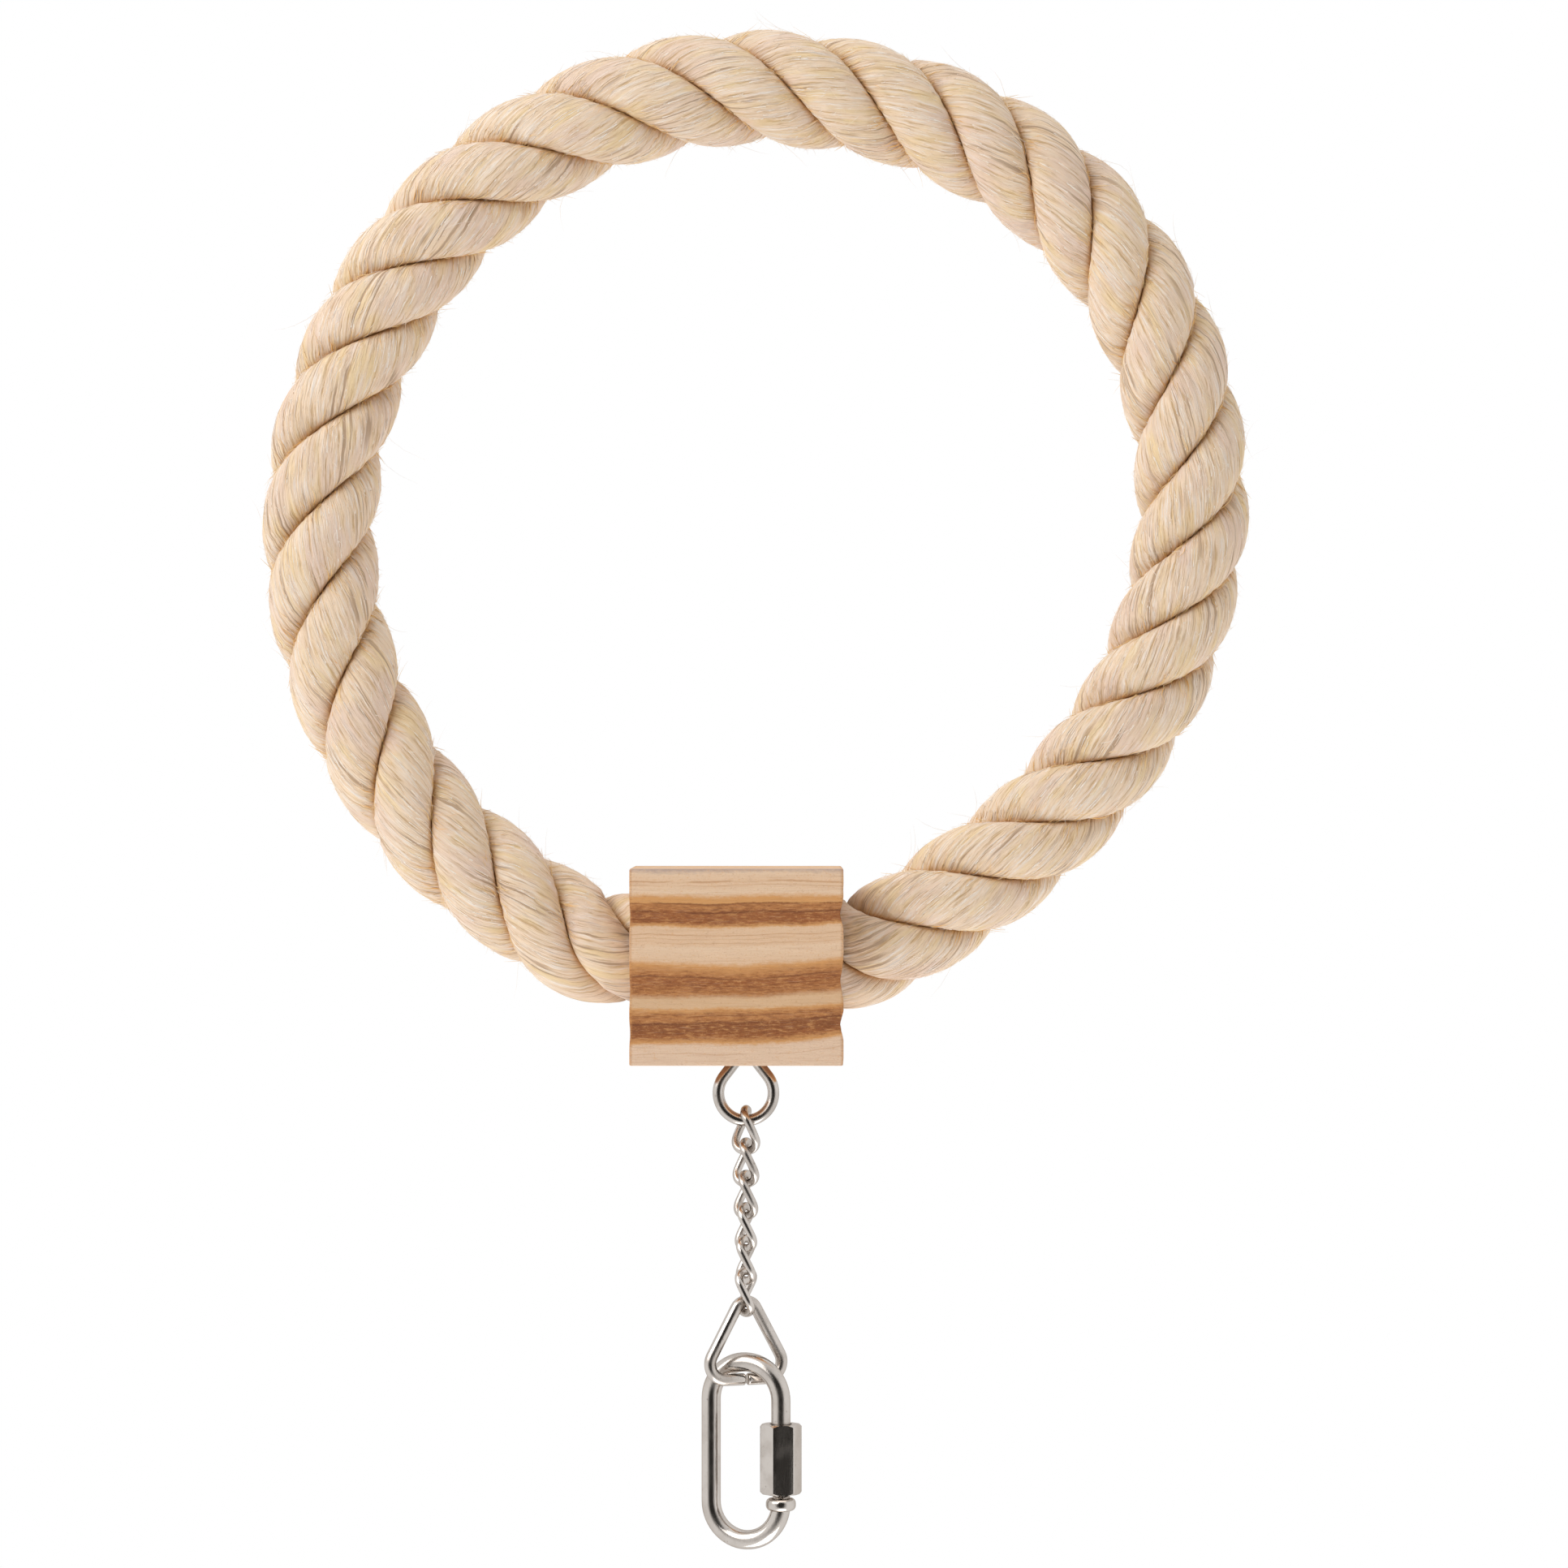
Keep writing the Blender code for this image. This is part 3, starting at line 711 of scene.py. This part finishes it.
def brushedPoint(point):
    # rounds the edges, sinks the soft bands in front and behind, and wears the ends
    edge = woodBlock["edge"]
    inner = Vector([min(max(point[k], blockLow[k] + edge), blockHigh[k] - edge) for k in range(3)])
    away = point - inner
    point = inner + away.normalized() * min(away.length, edge)
    drop = bandDrop(point)
    shares = [max(0.0, 1 - abs(drop - middle) / half) for middle, half in woodBlock["softBands"]]
    sunk = sum(math.sin(share * math.pi / 2) ** 2 for share in shares)
    fineX, fineY, fineDrop = woodBlock["ripples"]
    fine = noise.noise(Vector((point.x * fineX, point.y * fineY, drop * fineDrop)))
    half = (blockHigh - blockLow) / 2
    frontShare = abs((point.y - blockMiddle.y) / half.y) ** woodBlock["frontPower"]
    endShare = abs((point.x - blockMiddle.x) / half.x) ** woodBlock["endPower"]
    rippled = woodBlock["ripple"] * max(0.0, fine) * (woodBlock["rippleOnHard"] + sunk)
    point.y -= math.copysign(1, point.y) * frontShare * (woodBlock["bandDepth"] * sunk + rippled)
    seed, roughY, roughDrop = woodBlock["endRoughness"]
    worn = noise.noise(Vector((seed, point.y * roughY, drop * roughDrop)))
    wear = woodBlock["endWear"][point.x > blockMiddle.x] * max(0.0, woodBlock["endRough"] * worn + sunk)
    point.x -= math.copysign(1, point.x - blockMiddle.x) * endShare * wear
    return point


def makeBlock(material):
    shape = bmesh.new()
    bmesh.ops.create_cube(shape, size=1.0)
    bmesh.ops.scale(shape, verts=shape.verts, vec=blockHigh - blockLow)
    bmesh.ops.translate(shape, verts=shape.verts, vec=blockMiddle)
    bmesh.ops.subdivide_edges(shape, edges=shape.edges, cuts=woodBlock["cuts"], use_grid_fill=True)
    for vert in shape.verts:
        vert.co = brushedPoint(vert.co)
    boreLine = ringMiddle()[1]
    eyePlace = (0, 0, blockHigh.z)
    mouth = woodBlock["recessMouth"]
    depth = mouth / math.tan(woodBlock["recessLean"])
    bores = [roundTool(woodBlock["bore"], woodBlock["socket"] * 2, (x, 0, boreLine), alongX=True)
             for x in (blockLow.x, blockHigh.x)]
    bores.append(roundTool(woodBlock["eyeHole"], woodBlock["eyeHoleDepth"] * 2, eyePlace))
    bores.append(roundTool(mouth * 2, depth * 2, eyePlace, tip=0.0))
    mesh = carve(finishShape("brushed_block", shape), [("DIFFERENCE", bore) for bore in bores])
    return showPiece("brushed_block", mesh, material, "wood_block", woodBlock["sharp"])


def evenDrop(tree, x, y, z):
    # drop from the eye's face for the growth rings, which climb at the -X end and bow front to back
    drop = sums(tree, "SUBTRACT", blockHigh.z, z)
    toEnd = ease(tree, x, blockMiddle.x, blockLow.x, kind="LINEAR")
    rise = ease(tree, drop, *woodBlock["riseFade"], woodBlock["riseAtEnd"], kind="LINEAR")
    climb = sums(tree, "MULTIPLY", sums(tree, "POWER", toEnd, 2.0), rise)
    depthShare = sums(tree, "DIVIDE", y, blockHigh.y)
    arc = sums(tree, "SUBTRACT", 1.0, sums(tree, "MULTIPLY", depthShare, depthShare))
    arc = sums(tree, "MULTIPLY", sums(tree, "MAXIMUM", arc), woodGrain["ringArc"])
    return sums(tree, "ADD", sums(tree, "SUBTRACT", drop, climb), arc)


def bandRamp(tree, drop):
    deepest = woodBands[-1][0]
    ramp = addNode(tree, "ValToRGB", {0: sums(tree, "DIVIDE", drop, deepest / 1000)})
    stops = ramp.color_ramp.elements
    while len(stops) < len(woodBands):
        stops.new(1.0)
    for stop, (at, tone) in zip(stops, woodBands):
        stop.position = at / deepest
        stop.color = (*woodTones[tone], 1)
    return ramp.outputs[0]


def woodMaterial():
    material, tree, shader = newMaterial("scorched_wood", woodFinish)
    place = addNode(tree, "TexCoord").outputs["Object"]
    x, y, z = addNode(tree, "SeparateXYZ", {0: place}).outputs
    grain = {name: noiseOf(tree, place, *scale) for name, scale in woodNoise.items()}
    slow = swayOf(tree, grain["slow"], woodGrain["slowSway"])
    ragged = swayOf(tree, grain["ragged"], woodGrain["raggedSway"])
    even = sums(tree, "ADD", evenDrop(tree, x, y, z), slow)
    bands = bandRamp(tree, sums(tree, "ADD", even, ragged))
    brightness = addNode(tree, "RGBToBW", {0: bands}).outputs[0]
    charred = ease(tree, brightness, *woodBlends["charred"])
    lifted = sums(tree, "MULTIPLY", charred, ease(tree, grain["mottles"], *woodBlends["lifted"]))
    burnt = sums(tree, "MULTIPLY", charred, ease(tree, grain["mottles"], *woodBlends["burnt"]))
    colour = mixColours(tree, ease(tree, grain["grain"], *woodBlends["grain"]), bands, woodTones["brown"])
    colour = mixColours(tree, ease(tree, grain["fibres"], *woodBlends["fibres"]), colour, woodTones["pale"])
    colour = mixColours(tree, lifted, colour, woodTones["orange"])
    colour = mixColours(tree, burnt, colour, woodTones["line"])
    lineDrop = sums(tree, "ADD", even, sums(tree, "MULTIPLY", ragged, woodGrain["lineSway"]))
    unbroken = ease(tree, grain["breaks"], *woodBlends["unbroken"])
    for at, half, strength, tone in woodLines:
        off = sums(tree, "ABSOLUTE", sums(tree, "SUBTRACT", lineDrop, at / 1000))
        share = sums(tree, "MULTIPLY", ease(tree, off, half / 1000, 0.0, strength), unbroken)
        colour = mixColours(tree, share, colour, woodTones[tone])
    for blend, tone in (("orangeFlecks", "orange"), ("brownFlecks", "brown")):
        colour = mixColours(tree, ease(tree, grain["flecks"], *woodBlends[blend]), colour, woodTones[tone])
    halfLength = (blockHigh.x - blockLow.x) / 2
    aside = sums(tree, "ABSOLUTE", sums(tree, "SUBTRACT", x, blockMiddle.x))
    atEnd = ease(tree, aside, halfLength - woodGrain["endStart"], halfLength - woodGrain["endFull"],
                 woodGrain["endCover"], kind="LINEAR")
    endGrain = mixColours(tree, ease(tree, grain["pores"], *woodBlends["pores"]),
                          woodTones["orange"], woodTones["scorch"])
    tree.links.new(mixColours(tree, atEnd, colour, endGrain), shader.inputs["Base Color"])
    height = sums(tree, "ADD", grain["grain"],
                  sums(tree, "MULTIPLY", grain["fibres"], woodGrain["bumpFibres"]))
    bump = bumpOf(tree, height, woodGrain["bumpStrength"], woodGrain["bumpDistance"])
    tree.links.new(bump, shader.inputs["Normal"])
    return material


def glueMaterial():
    material, tree, shader = newMaterial("dried_glue", glueFinish)
    place = addNode(tree, "TexCoord").outputs["Object"]
    clouds = noiseOf(tree, place, *glueLook["clouds"])
    bubbles = noiseOf(tree, place, *glueLook["bubbles"])
    colour = mixColours(tree, ease(tree, clouds, *glueLook["blend"]), glueTones["dark"], glueTones["light"])
    tree.links.new(colour, shader.inputs["Base Color"])
    bump = bumpOf(tree, bubbles, glueLook["bumpStrength"], glueLook["bumpDistance"])
    tree.links.new(bump, shader.inputs["Normal"])
    return material


makeBlock(woodMaterial())
glue = glueMaterial()
for side in ("left", "right"):
    plug = frame["nodes"][f"glue_plug_{side}"]
    plug.data.materials.clear()
    plug.data.materials.append(glue)
print("block and glue done")


# plated wire: each piece is bent from a list of straight runs and bends

wireBends = dict(
    sides=24,
    step=math.radians(6),
    endRound=0.0003,
    endSegments=3,
)
eyeScrew = dict(
    thickness=0.0024,
    ring=0.0057,          # to the middle of the wire, as all sizes here
    ringToNeck=0.0093,
    neckBend=0.0020,
    slit=0.0006,
    shank=0.0170,
    point=0.0040,
    pointShare=0.15,      # of the thickness that is left at the very tip
    threadPitch=0.0011,
    threadDepth=0.00018,
    threadStart=0.4,      # share of the point that stays plain
    threadStop=0.0035,    # below the neck
    shankPieces=120,
    legPieces=8,
    endPieces=6,
)
chainLink = dict(
    count=6,
    thickness=0.0017,
    length=0.0087,
    bow=0.0028,
    twist=math.radians(-90),
    topTurn=math.radians(96),
    bottomTurn=math.radians(62),
    legPieces=10,
)
triangleLink = dict(
    thickness=0.0025,
    top=-0.03125,
    corner=0.0034,
    reach=0.00465,        # of the corners' middles to each side
    tip=0.0025,
    tipDrop=0.0136,
    split=0.0006,
    turn=math.radians(-24),
    sidePieces=6,
    legPieces=8,
)
quickLink = dict(
    thickness=0.0040,
    bow=0.0078,
    topBow=-0.0058,       # heights of the bows' middles
    lowBow=-0.0270,
    legEnd=-0.0127,
    turn=math.radians(22),
    legPieces=12,
    backPieces=16,
    collar=(-0.0044, -0.0071, 0.0031),  # top, underside, radius
    collarRound=0.0011,
    collarSegments=6,
    collarSides=48,
    stud=(-0.0093, 0.0018),             # end, radius
    studPieces=24,
    threadPitch=0.0007,
    threadDepth=0.00022,
    threadPast=0.00001,   # below the stud's end
    threadStart=0.0001,   # below the collar
    nut=(-0.0223, -0.0079),
    acrossFlats=0.0076,
    nutChamfer=0.0005,
    nutEdge=0.00018,
    nutEdgeSegments=3,
    nutSides=6,
    nutTurnedSides=96,
    nutBore=0.0023,
    nutBoreSides=48,
    nutSharp=math.radians(25),
)
nickelTones = dict(
    bright=(0.60, 0.555, 0.515),
    dull=(0.46, 0.415, 0.375),
    stain=(0.24, 0.20, 0.165),
    edge=(0.62, 0.57, 0.53),
)
nickelLook = dict(
    clouds=((190, 190, 190), 4.0),
    cloudBlend=(0.42, 0.68),
    specks=((1500, 1500, 1500), 2.0),
    speckBlend=(0.66, 0.78),
    marks=((5200, 5200, 700), 2.0),
    smoothest=0.13,
    roughest=0.34,
    bumpDistance=0.00005,
    wireWear=0.75,
    wireBump=0.25,
    lockWear=0.55,
    lockBump=0.2,
)


def bendLine(start, heading, moves):
    # middle line of a wire in the XZ plane; bends to the left are positive
    points = [Vector((start[0], 0, start[1]))]
    for kind, size, amount in moves:
        ahead = Vector((math.cos(heading), 0, math.sin(heading)))
        here = points[-1]
        if kind == "run":  # its length and the number of pieces
            points += [here + ahead * size * (k + 1) / amount for k in range(amount)]
        else:              # its radius and its angle
            middle = here + Vector((-ahead.z, 0, ahead.x)) * math.copysign(size, amount)
            count = math.ceil(abs(amount) / wireBends["step"])
            points += [middle + Matrix.Rotation(-amount * (k + 1) / count, 3, "Y") @ (here - middle)
                       for k in range(count)]
            heading += amount
    return points


def straightBetween(first, second):
    # heading and length of a wire's straight from one peg (x, z, radius) to the next
    across, up = second[0] - first[0], second[1] - first[1]
    span = math.hypot(across, up)
    slip = first[2] - second[2]
    return math.atan2(up, across) + math.asin(slip / span), math.sqrt(span ** 2 - slip ** 2)


def sweepWire(points, thickness, closed=False):
    count = len(points)
    if closed:
        ahead = [(points[(k + 1) % count] - points[k - 1]).normalized() for k in range(count)]
    else:
        ahead = [(points[min(k + 1, count - 1)] - points[max(k - 1, 0)]).normalized() for k in range(count)]
    shape = bmesh.new()
    bmesh.ops.create_circle(shape, segments=wireBends["sides"], radius=thickness / 2)
    bmesh.ops.rotate(shape, verts=shape.verts,
                     matrix=Vector((0, 0, 1)).rotation_difference(ahead[0]).to_matrix())
    bmesh.ops.translate(shape, verts=shape.verts, vec=points[0])
    firstLoop = loop = list(shape.edges)
    for k in range(1, count):
        made = bmesh.ops.extrude_edge_only(shape, edges=loop)["geom"]
        loop = [item for item in made if isinstance(item, bmesh.types.BMEdge)]
        verts = [item for item in made if isinstance(item, bmesh.types.BMVert)]
        bmesh.ops.translate(shape, verts=verts, vec=points[k] - points[k - 1])
        bmesh.ops.rotate(shape, verts=verts, cent=points[k],
                         matrix=ahead[k - 1].rotation_difference(ahead[k]).to_matrix())
    if closed:
        bmesh.ops.bridge_loops(shape, edges=firstLoop + loop)
    else:
        rims = [edge for edge in shape.edges if edge.is_boundary]
        bmesh.ops.holes_fill(shape, edges=rims, sides=0)
        bevelEdges(shape, rims, wireBends["endRound"], wireBends["endSegments"])
    bmesh.ops.recalc_face_normals(shape, faces=shape.faces)
    return shape


def turnAndLift(shape, turn, height):
    bmesh.ops.rotate(shape, verts=shape.verts, matrix=Matrix.Rotation(turn, 3, "Z"))
    bmesh.ops.translate(shape, verts=shape.verts, vec=(0, 0, height))


def cutThread(shape, low, high, pitch, depth):
    # presses a screw thread into a round stretch about the Z axis
    for vert in shape.verts:
        if low < vert.co.z < high:
            around = math.atan2(vert.co.y, vert.co.x) / (2 * math.pi)
            wave = abs((vert.co.z / pitch - around) % 1.0 - 0.5) * 2
            away = Vector((vert.co.x, vert.co.y, 0))
            vert.co += away.normalized() * (wave - 0.5) * depth


def makeEyeScrew(material):
    eye = eyeScrew
    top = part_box("eye_screw")[1].z - eye["thickness"] / 2
    neck = top - eye["ring"] - eye["ringToNeck"]
    tip = neck - eye["shank"]
    lean = math.asin(eye["ring"] / eye["ringToNeck"])
    leg = eye["ringToNeck"] * math.cos(lean)
    intoBend = eye["neckBend"] * math.tan(lean / 2)
    stop = (eye["thickness"] + eye["slit"]) / 2 / math.sin(lean)
    points = bendLine((0, tip), math.pi / 2, [
        ("run", eye["shank"] - intoBend, eye["shankPieces"]), ("bend", eye["neckBend"], -lean),
        ("run", leg - intoBend, eye["legPieces"]), ("bend", eye["ring"], math.pi + 2 * lean),
        ("run", leg - stop, eye["endPieces"])])
    shape = sweepWire(points, eye["thickness"])
    for vert in shape.verts:
        share = (vert.co.z - tip) / eye["point"]
        if share < 1:
            slim = eye["pointShare"] + (1 - eye["pointShare"]) * max(share, 0)
            vert.co.x *= slim
            vert.co.y *= slim
    cutThread(shape, tip + eye["point"] * eye["threadStart"], neck - eye["threadStop"],
              eye["threadPitch"], eye["threadDepth"])
    return showPiece("screw_eye", finishShape("screw_eye", shape), material, "eye_screw")


def makeChain(material):
    link = chainLink
    leg = ("run", link["length"] - 2 * link["bow"], link["legPieces"])
    bow = ("bend", link["bow"], math.pi)
    flat = bendLine((link["bow"], link["bow"] - link["length"]), math.pi / 2, [leg, bow, leg, bow])[:-1]
    oval = [Matrix.Rotation(link["twist"] * (point.z / link["length"] + 0.5), 3, "Z") @ point
            for point in flat]
    for index in range(link["count"]):
        number = link["count"] - index
        node = f"chain_link_{number}"
        turn = link["topTurn"] + (link["bottomTurn"] - link["topTurn"]) * index / (link["count"] - 1)
        shape = sweepWire(oval, link["thickness"], closed=True)
        turnAndLift(shape, turn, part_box(node)[1].z - link["thickness"] / 2)
        showPiece(f"twisted_link_{number}", finishShape(f"twisted_link_{number}", shape), material, node)


def makeTriangle(material):
    link = triangleLink
    corner = (-link["reach"], -link["corner"], link["corner"])
    tip = (0, -link["tipDrop"], link["tip"])
    heading, length = straightBetween(corner, tip)
    side = ("run", link["reach"] - link["split"] / 2, link["sidePieces"])
    cornerBend = ("bend", link["corner"], (heading - math.pi) % (2 * math.pi))
    leg = ("run", length, link["legPieces"])
    tipBend = ("bend", link["tip"], -2 * heading)
    points = bendLine((-link["split"] / 2, 0), math.pi,
                      [side, cornerBend, leg, tipBend, leg, cornerBend, side])
    shape = sweepWire(points, link["thickness"])
    turnAndLift(shape, link["turn"], link["top"])
    showPiece("triangle_wire", finishShape("triangle_wire", shape), material, "triangle_link")


def collarAndStud():
    link = quickLink
    top, low, radius = link["collar"]
    studEnd, studRadius = link["stud"]
    shape = roundTool(radius, top - low, (0, 0, (top + low) / 2), sides=link["collarSides"])
    bevelEdges(shape, edgesOf(shape, upright=False), link["collarRound"], link["collarSegments"])
    under = min(shape.faces, key=lambda face: face.calc_center_median().z)
    rim = under.verts[0].co.to_2d().length
    bmesh.ops.inset_individual(shape, faces=[under], thickness=rim - studRadius)
    for _ in range(link["studPieces"]):
        under = bmesh.ops.extrude_discrete_faces(shape, faces=[under])["faces"][0]
        bmesh.ops.translate(shape, verts=under.verts, vec=(0, 0, (studEnd - low) / link["studPieces"]))
    cutThread(shape, studEnd - link["threadPast"], low - link["threadStart"],
              link["threadPitch"], link["threadDepth"])
    bmesh.ops.translate(shape, verts=shape.verts, vec=(-link["bow"], 0, 0))
    bmesh.ops.recalc_face_normals(shape, faces=shape.faces)
    return shape


def makeQuickLink(material):
    link = quickLink
    bow = ("bend", link["bow"], math.pi)
    points = bendLine((-link["bow"], link["legEnd"]), -math.pi / 2, [
        ("run", link["legEnd"] - link["lowBow"], link["legPieces"]), bow,
        ("run", link["topBow"] - link["lowBow"], link["backPieces"]), bow])
    shape = sweepWire(points, link["thickness"])
    mesh = carve(finishShape("quick_link_wire", shape), [("UNION", collarAndStud())])
    mesh.transform(Matrix.Rotation(link["turn"], 4, "Z"))
    showPiece("quick_link_wire", mesh, material, "quick_link")


def makeNut(material):
    link = quickLink
    low, high = link["nut"]
    corners = link["acrossFlats"] / math.cos(math.pi / link["nutSides"]) / 2
    shape = roundTool(corners, high - low, (0, 0, 0), sides=link["nutSides"])
    bevelEdges(shape, edgesOf(shape, upright=True), link["nutEdge"], link["nutEdgeSegments"])
    turned = roundTool(corners, high - low, (0, 0, 0), sides=link["nutTurnedSides"])
    bevelEdges(turned, edgesOf(turned, upright=False), link["nutChamfer"], 1)
    bore = roundTool(link["nutBore"], (high - low) * 2, (0, 0, 0), sides=link["nutBoreSides"])
    mesh = carve(finishShape("sleeve_nut", shape), [("INTERSECT", turned), ("DIFFERENCE", bore)])
    mesh.transform(Matrix.Translation((-link["bow"], 0, (low + high) / 2)))
    mesh.transform(Matrix.Rotation(link["turn"], 4, "Z"))
    showPiece("sleeve_nut", mesh, material, "quick_link_nut", link["nutSharp"])


def handledNickel():
    # shared by the wire and the lock: cloudy plating with fine marks
    look = nickelLook
    group, given, result = newGroup("handled_nickel", {"Place": "Vector", "Wear": "Float"},
                                    {"Colour": "Color", "Roughness": "Float", "Height": "Float"})
    clouds = ease(group, noiseOf(group, given["Place"], *look["clouds"]), *look["cloudBlend"])
    specks = ease(group, noiseOf(group, given["Place"], *look["specks"]), *look["speckBlend"])
    worn = sums(group, "MULTIPLY", clouds, given["Wear"])
    spots = sums(group, "MULTIPLY", specks, given["Wear"])
    colour = mixColours(group, worn, nickelTones["bright"], nickelTones["dull"])
    group.links.new(mixColours(group, spots, colour, nickelTones["stain"]), result["Colour"])
    rough = addNode(group, "MapRange", {"Value": sums(group, "ADD", worn, spots),
                                        "To Min": look["smoothest"], "To Max": look["roughest"]})
    group.links.new(rough.outputs[0], result["Roughness"])
    group.links.new(noiseOf(group, given["Place"], *look["marks"]), result["Height"])
    return group


def nickelMaterial(name, group, wear, bump):
    material, tree, shader = newMaterial(name, {"Metallic": 1.0, "Specular Tint": (*nickelTones["edge"], 1)})
    place = addNode(tree, "TexCoord").outputs["Object"]
    finish = addNode(tree, "Group", node_tree=group)
    tree.links.new(place, finish.inputs["Place"])
    finish.inputs["Wear"].default_value = wear
    tree.links.new(finish.outputs["Colour"], shader.inputs["Base Color"])
    tree.links.new(finish.outputs["Roughness"], shader.inputs["Roughness"])
    marks = bumpOf(tree, finish.outputs["Height"], bump, nickelLook["bumpDistance"])
    tree.links.new(marks, shader.inputs["Normal"])
    return material


plating = handledNickel()
wirePlate = nickelMaterial("plated_wire", plating, nickelLook["wireWear"], nickelLook["wireBump"])
lockPlate = nickelMaterial("plated_lock", plating, nickelLook["lockWear"], nickelLook["lockBump"])
makeEyeScrew(wirePlate)
makeChain(wirePlate)
makeTriangle(wirePlate)
makeQuickLink(lockPlate)
makeNut(lockPlate)
print("hanging hardware done")


# stage: white all round for the camera and the metal, a dark wall on the camera's side

stageSetup = dict(
    sky=(1, 1, 1, 1),
    skyStrength=1.0,
    floorHeight=-1.25,
    floorRadius=3.0,
    floorSides=96,
    floorFade=(0.35, 0.95),   # shares of its radius between which it clears
    floorFinish={"Roughness": 0.9, "Base Color": (0.9, 0.9, 0.9, 1)},
    roomSide=3.6,
    roomDark=0.55,            # radius of its dark middle
    roomBehindCamera=0.5,
    roomFinish={"Roughness": 1.0},
    roomMiddle=(0.015, 0.013, 0.011),
    roomRim=(0.85, 0.84, 0.83),
    keyPlace=(0.85, -0.75, -0.90),
    keySize=1.3,
    keyPower=13.0,
    topPlace=(-0.1, -0.3, 1.0),
    topSize=0.9,
    topPower=6.0,
)


def makeWorld():
    world = bpy.data.worlds.new("white_studio")
    bpy.context.scene.world = world
    world.use_nodes = True
    sky = world.node_tree.nodes["Background"].inputs
    sky["Color"].default_value = stageSetup["sky"]
    sky["Strength"].default_value = stageSetup["skyStrength"]


def makeFloor():
    radius = stageSetup["floorRadius"]
    shape = bmesh.new()
    bmesh.ops.create_circle(shape, cap_ends=True, segments=stageSetup["floorSides"], radius=radius)
    bmesh.ops.translate(shape, verts=shape.verts, vec=(0, 0, stageSetup["floorHeight"]))
    material, tree, shader = newMaterial("pale_floor", stageSetup["floorFinish"])
    place = addNode(tree, "TexCoord").outputs["Object"]
    flat = addNode(tree, "VectorMath", {0: place, 1: (1, 1, 0)}, operation="MULTIPLY").outputs[0]
    away = addNode(tree, "VectorMath", {0: flat}, operation="LENGTH").outputs["Value"]
    fade = ease(tree, away, *(radius * share for share in stageSetup["floorFade"]))
    clear = addNode(tree, "BsdfTransparent").outputs[0]
    mixed = addNode(tree, "MixShader", {0: fade, 1: shader.outputs[0], 2: clear}).outputs[0]
    tree.links.new(mixed, tree.nodes["Material Output"].inputs["Surface"])
    floor = bpy.data.objects.new("floor", finishShape("floor", shape))
    floor.data.materials.append(material)
    bpy.context.scene.collection.objects.link(floor)


def makeRoom():
    # dark wall behind the camera, which the metal mirrors
    half = stageSetup["roomSide"] / 2
    middle = (cadMiddle.x, -photoView["distance"] - stageSetup["roomBehindCamera"], cadMiddle.z)
    shape = bmesh.new()
    bmesh.ops.create_grid(shape, x_segments=1, y_segments=1, size=half)
    bmesh.ops.rotate(shape, verts=shape.verts, matrix=Matrix.Rotation(math.pi / 2, 3, "X"))
    bmesh.ops.translate(shape, verts=shape.verts, vec=middle)
    material, tree, shader = newMaterial("dark_room", stageSetup["roomFinish"])
    place = addNode(tree, "TexCoord").outputs["Object"]
    aside = addNode(tree, "VectorMath", {0: place, 1: middle}, operation="DISTANCE").outputs["Value"]
    towardsRim = ease(tree, aside, stageSetup["roomDark"], half)
    colour = mixColours(tree, towardsRim, stageSetup["roomMiddle"], stageSetup["roomRim"])
    tree.links.new(colour, shader.inputs["Base Color"])
    wall = bpy.data.objects.new("dark_room", finishShape("dark_room", shape))
    wall.data.materials.append(material)
    wall.visible_camera = False
    bpy.context.scene.collection.objects.link(wall)


def makeLamp(name, place, size, power):
    data = bpy.data.lights.new(name, "AREA")
    data.size = size
    data.energy = power
    lamp = bpy.data.objects.new(name, data)
    lamp.location = place
    lamp.rotation_euler = (cadMiddle - lamp.location).to_track_quat("-Z", "Y").to_euler()
    bpy.context.scene.collection.objects.link(lamp)


makeWorld()
makeFloor()
makeRoom()
makeLamp("key_lamp", stageSetup["keyPlace"], stageSetup["keySize"], stageSetup["keyPower"])
makeLamp("top_lamp", stageSetup["topPlace"], stageSetup["topSize"], stageSetup["topPower"])
print("stage lit")
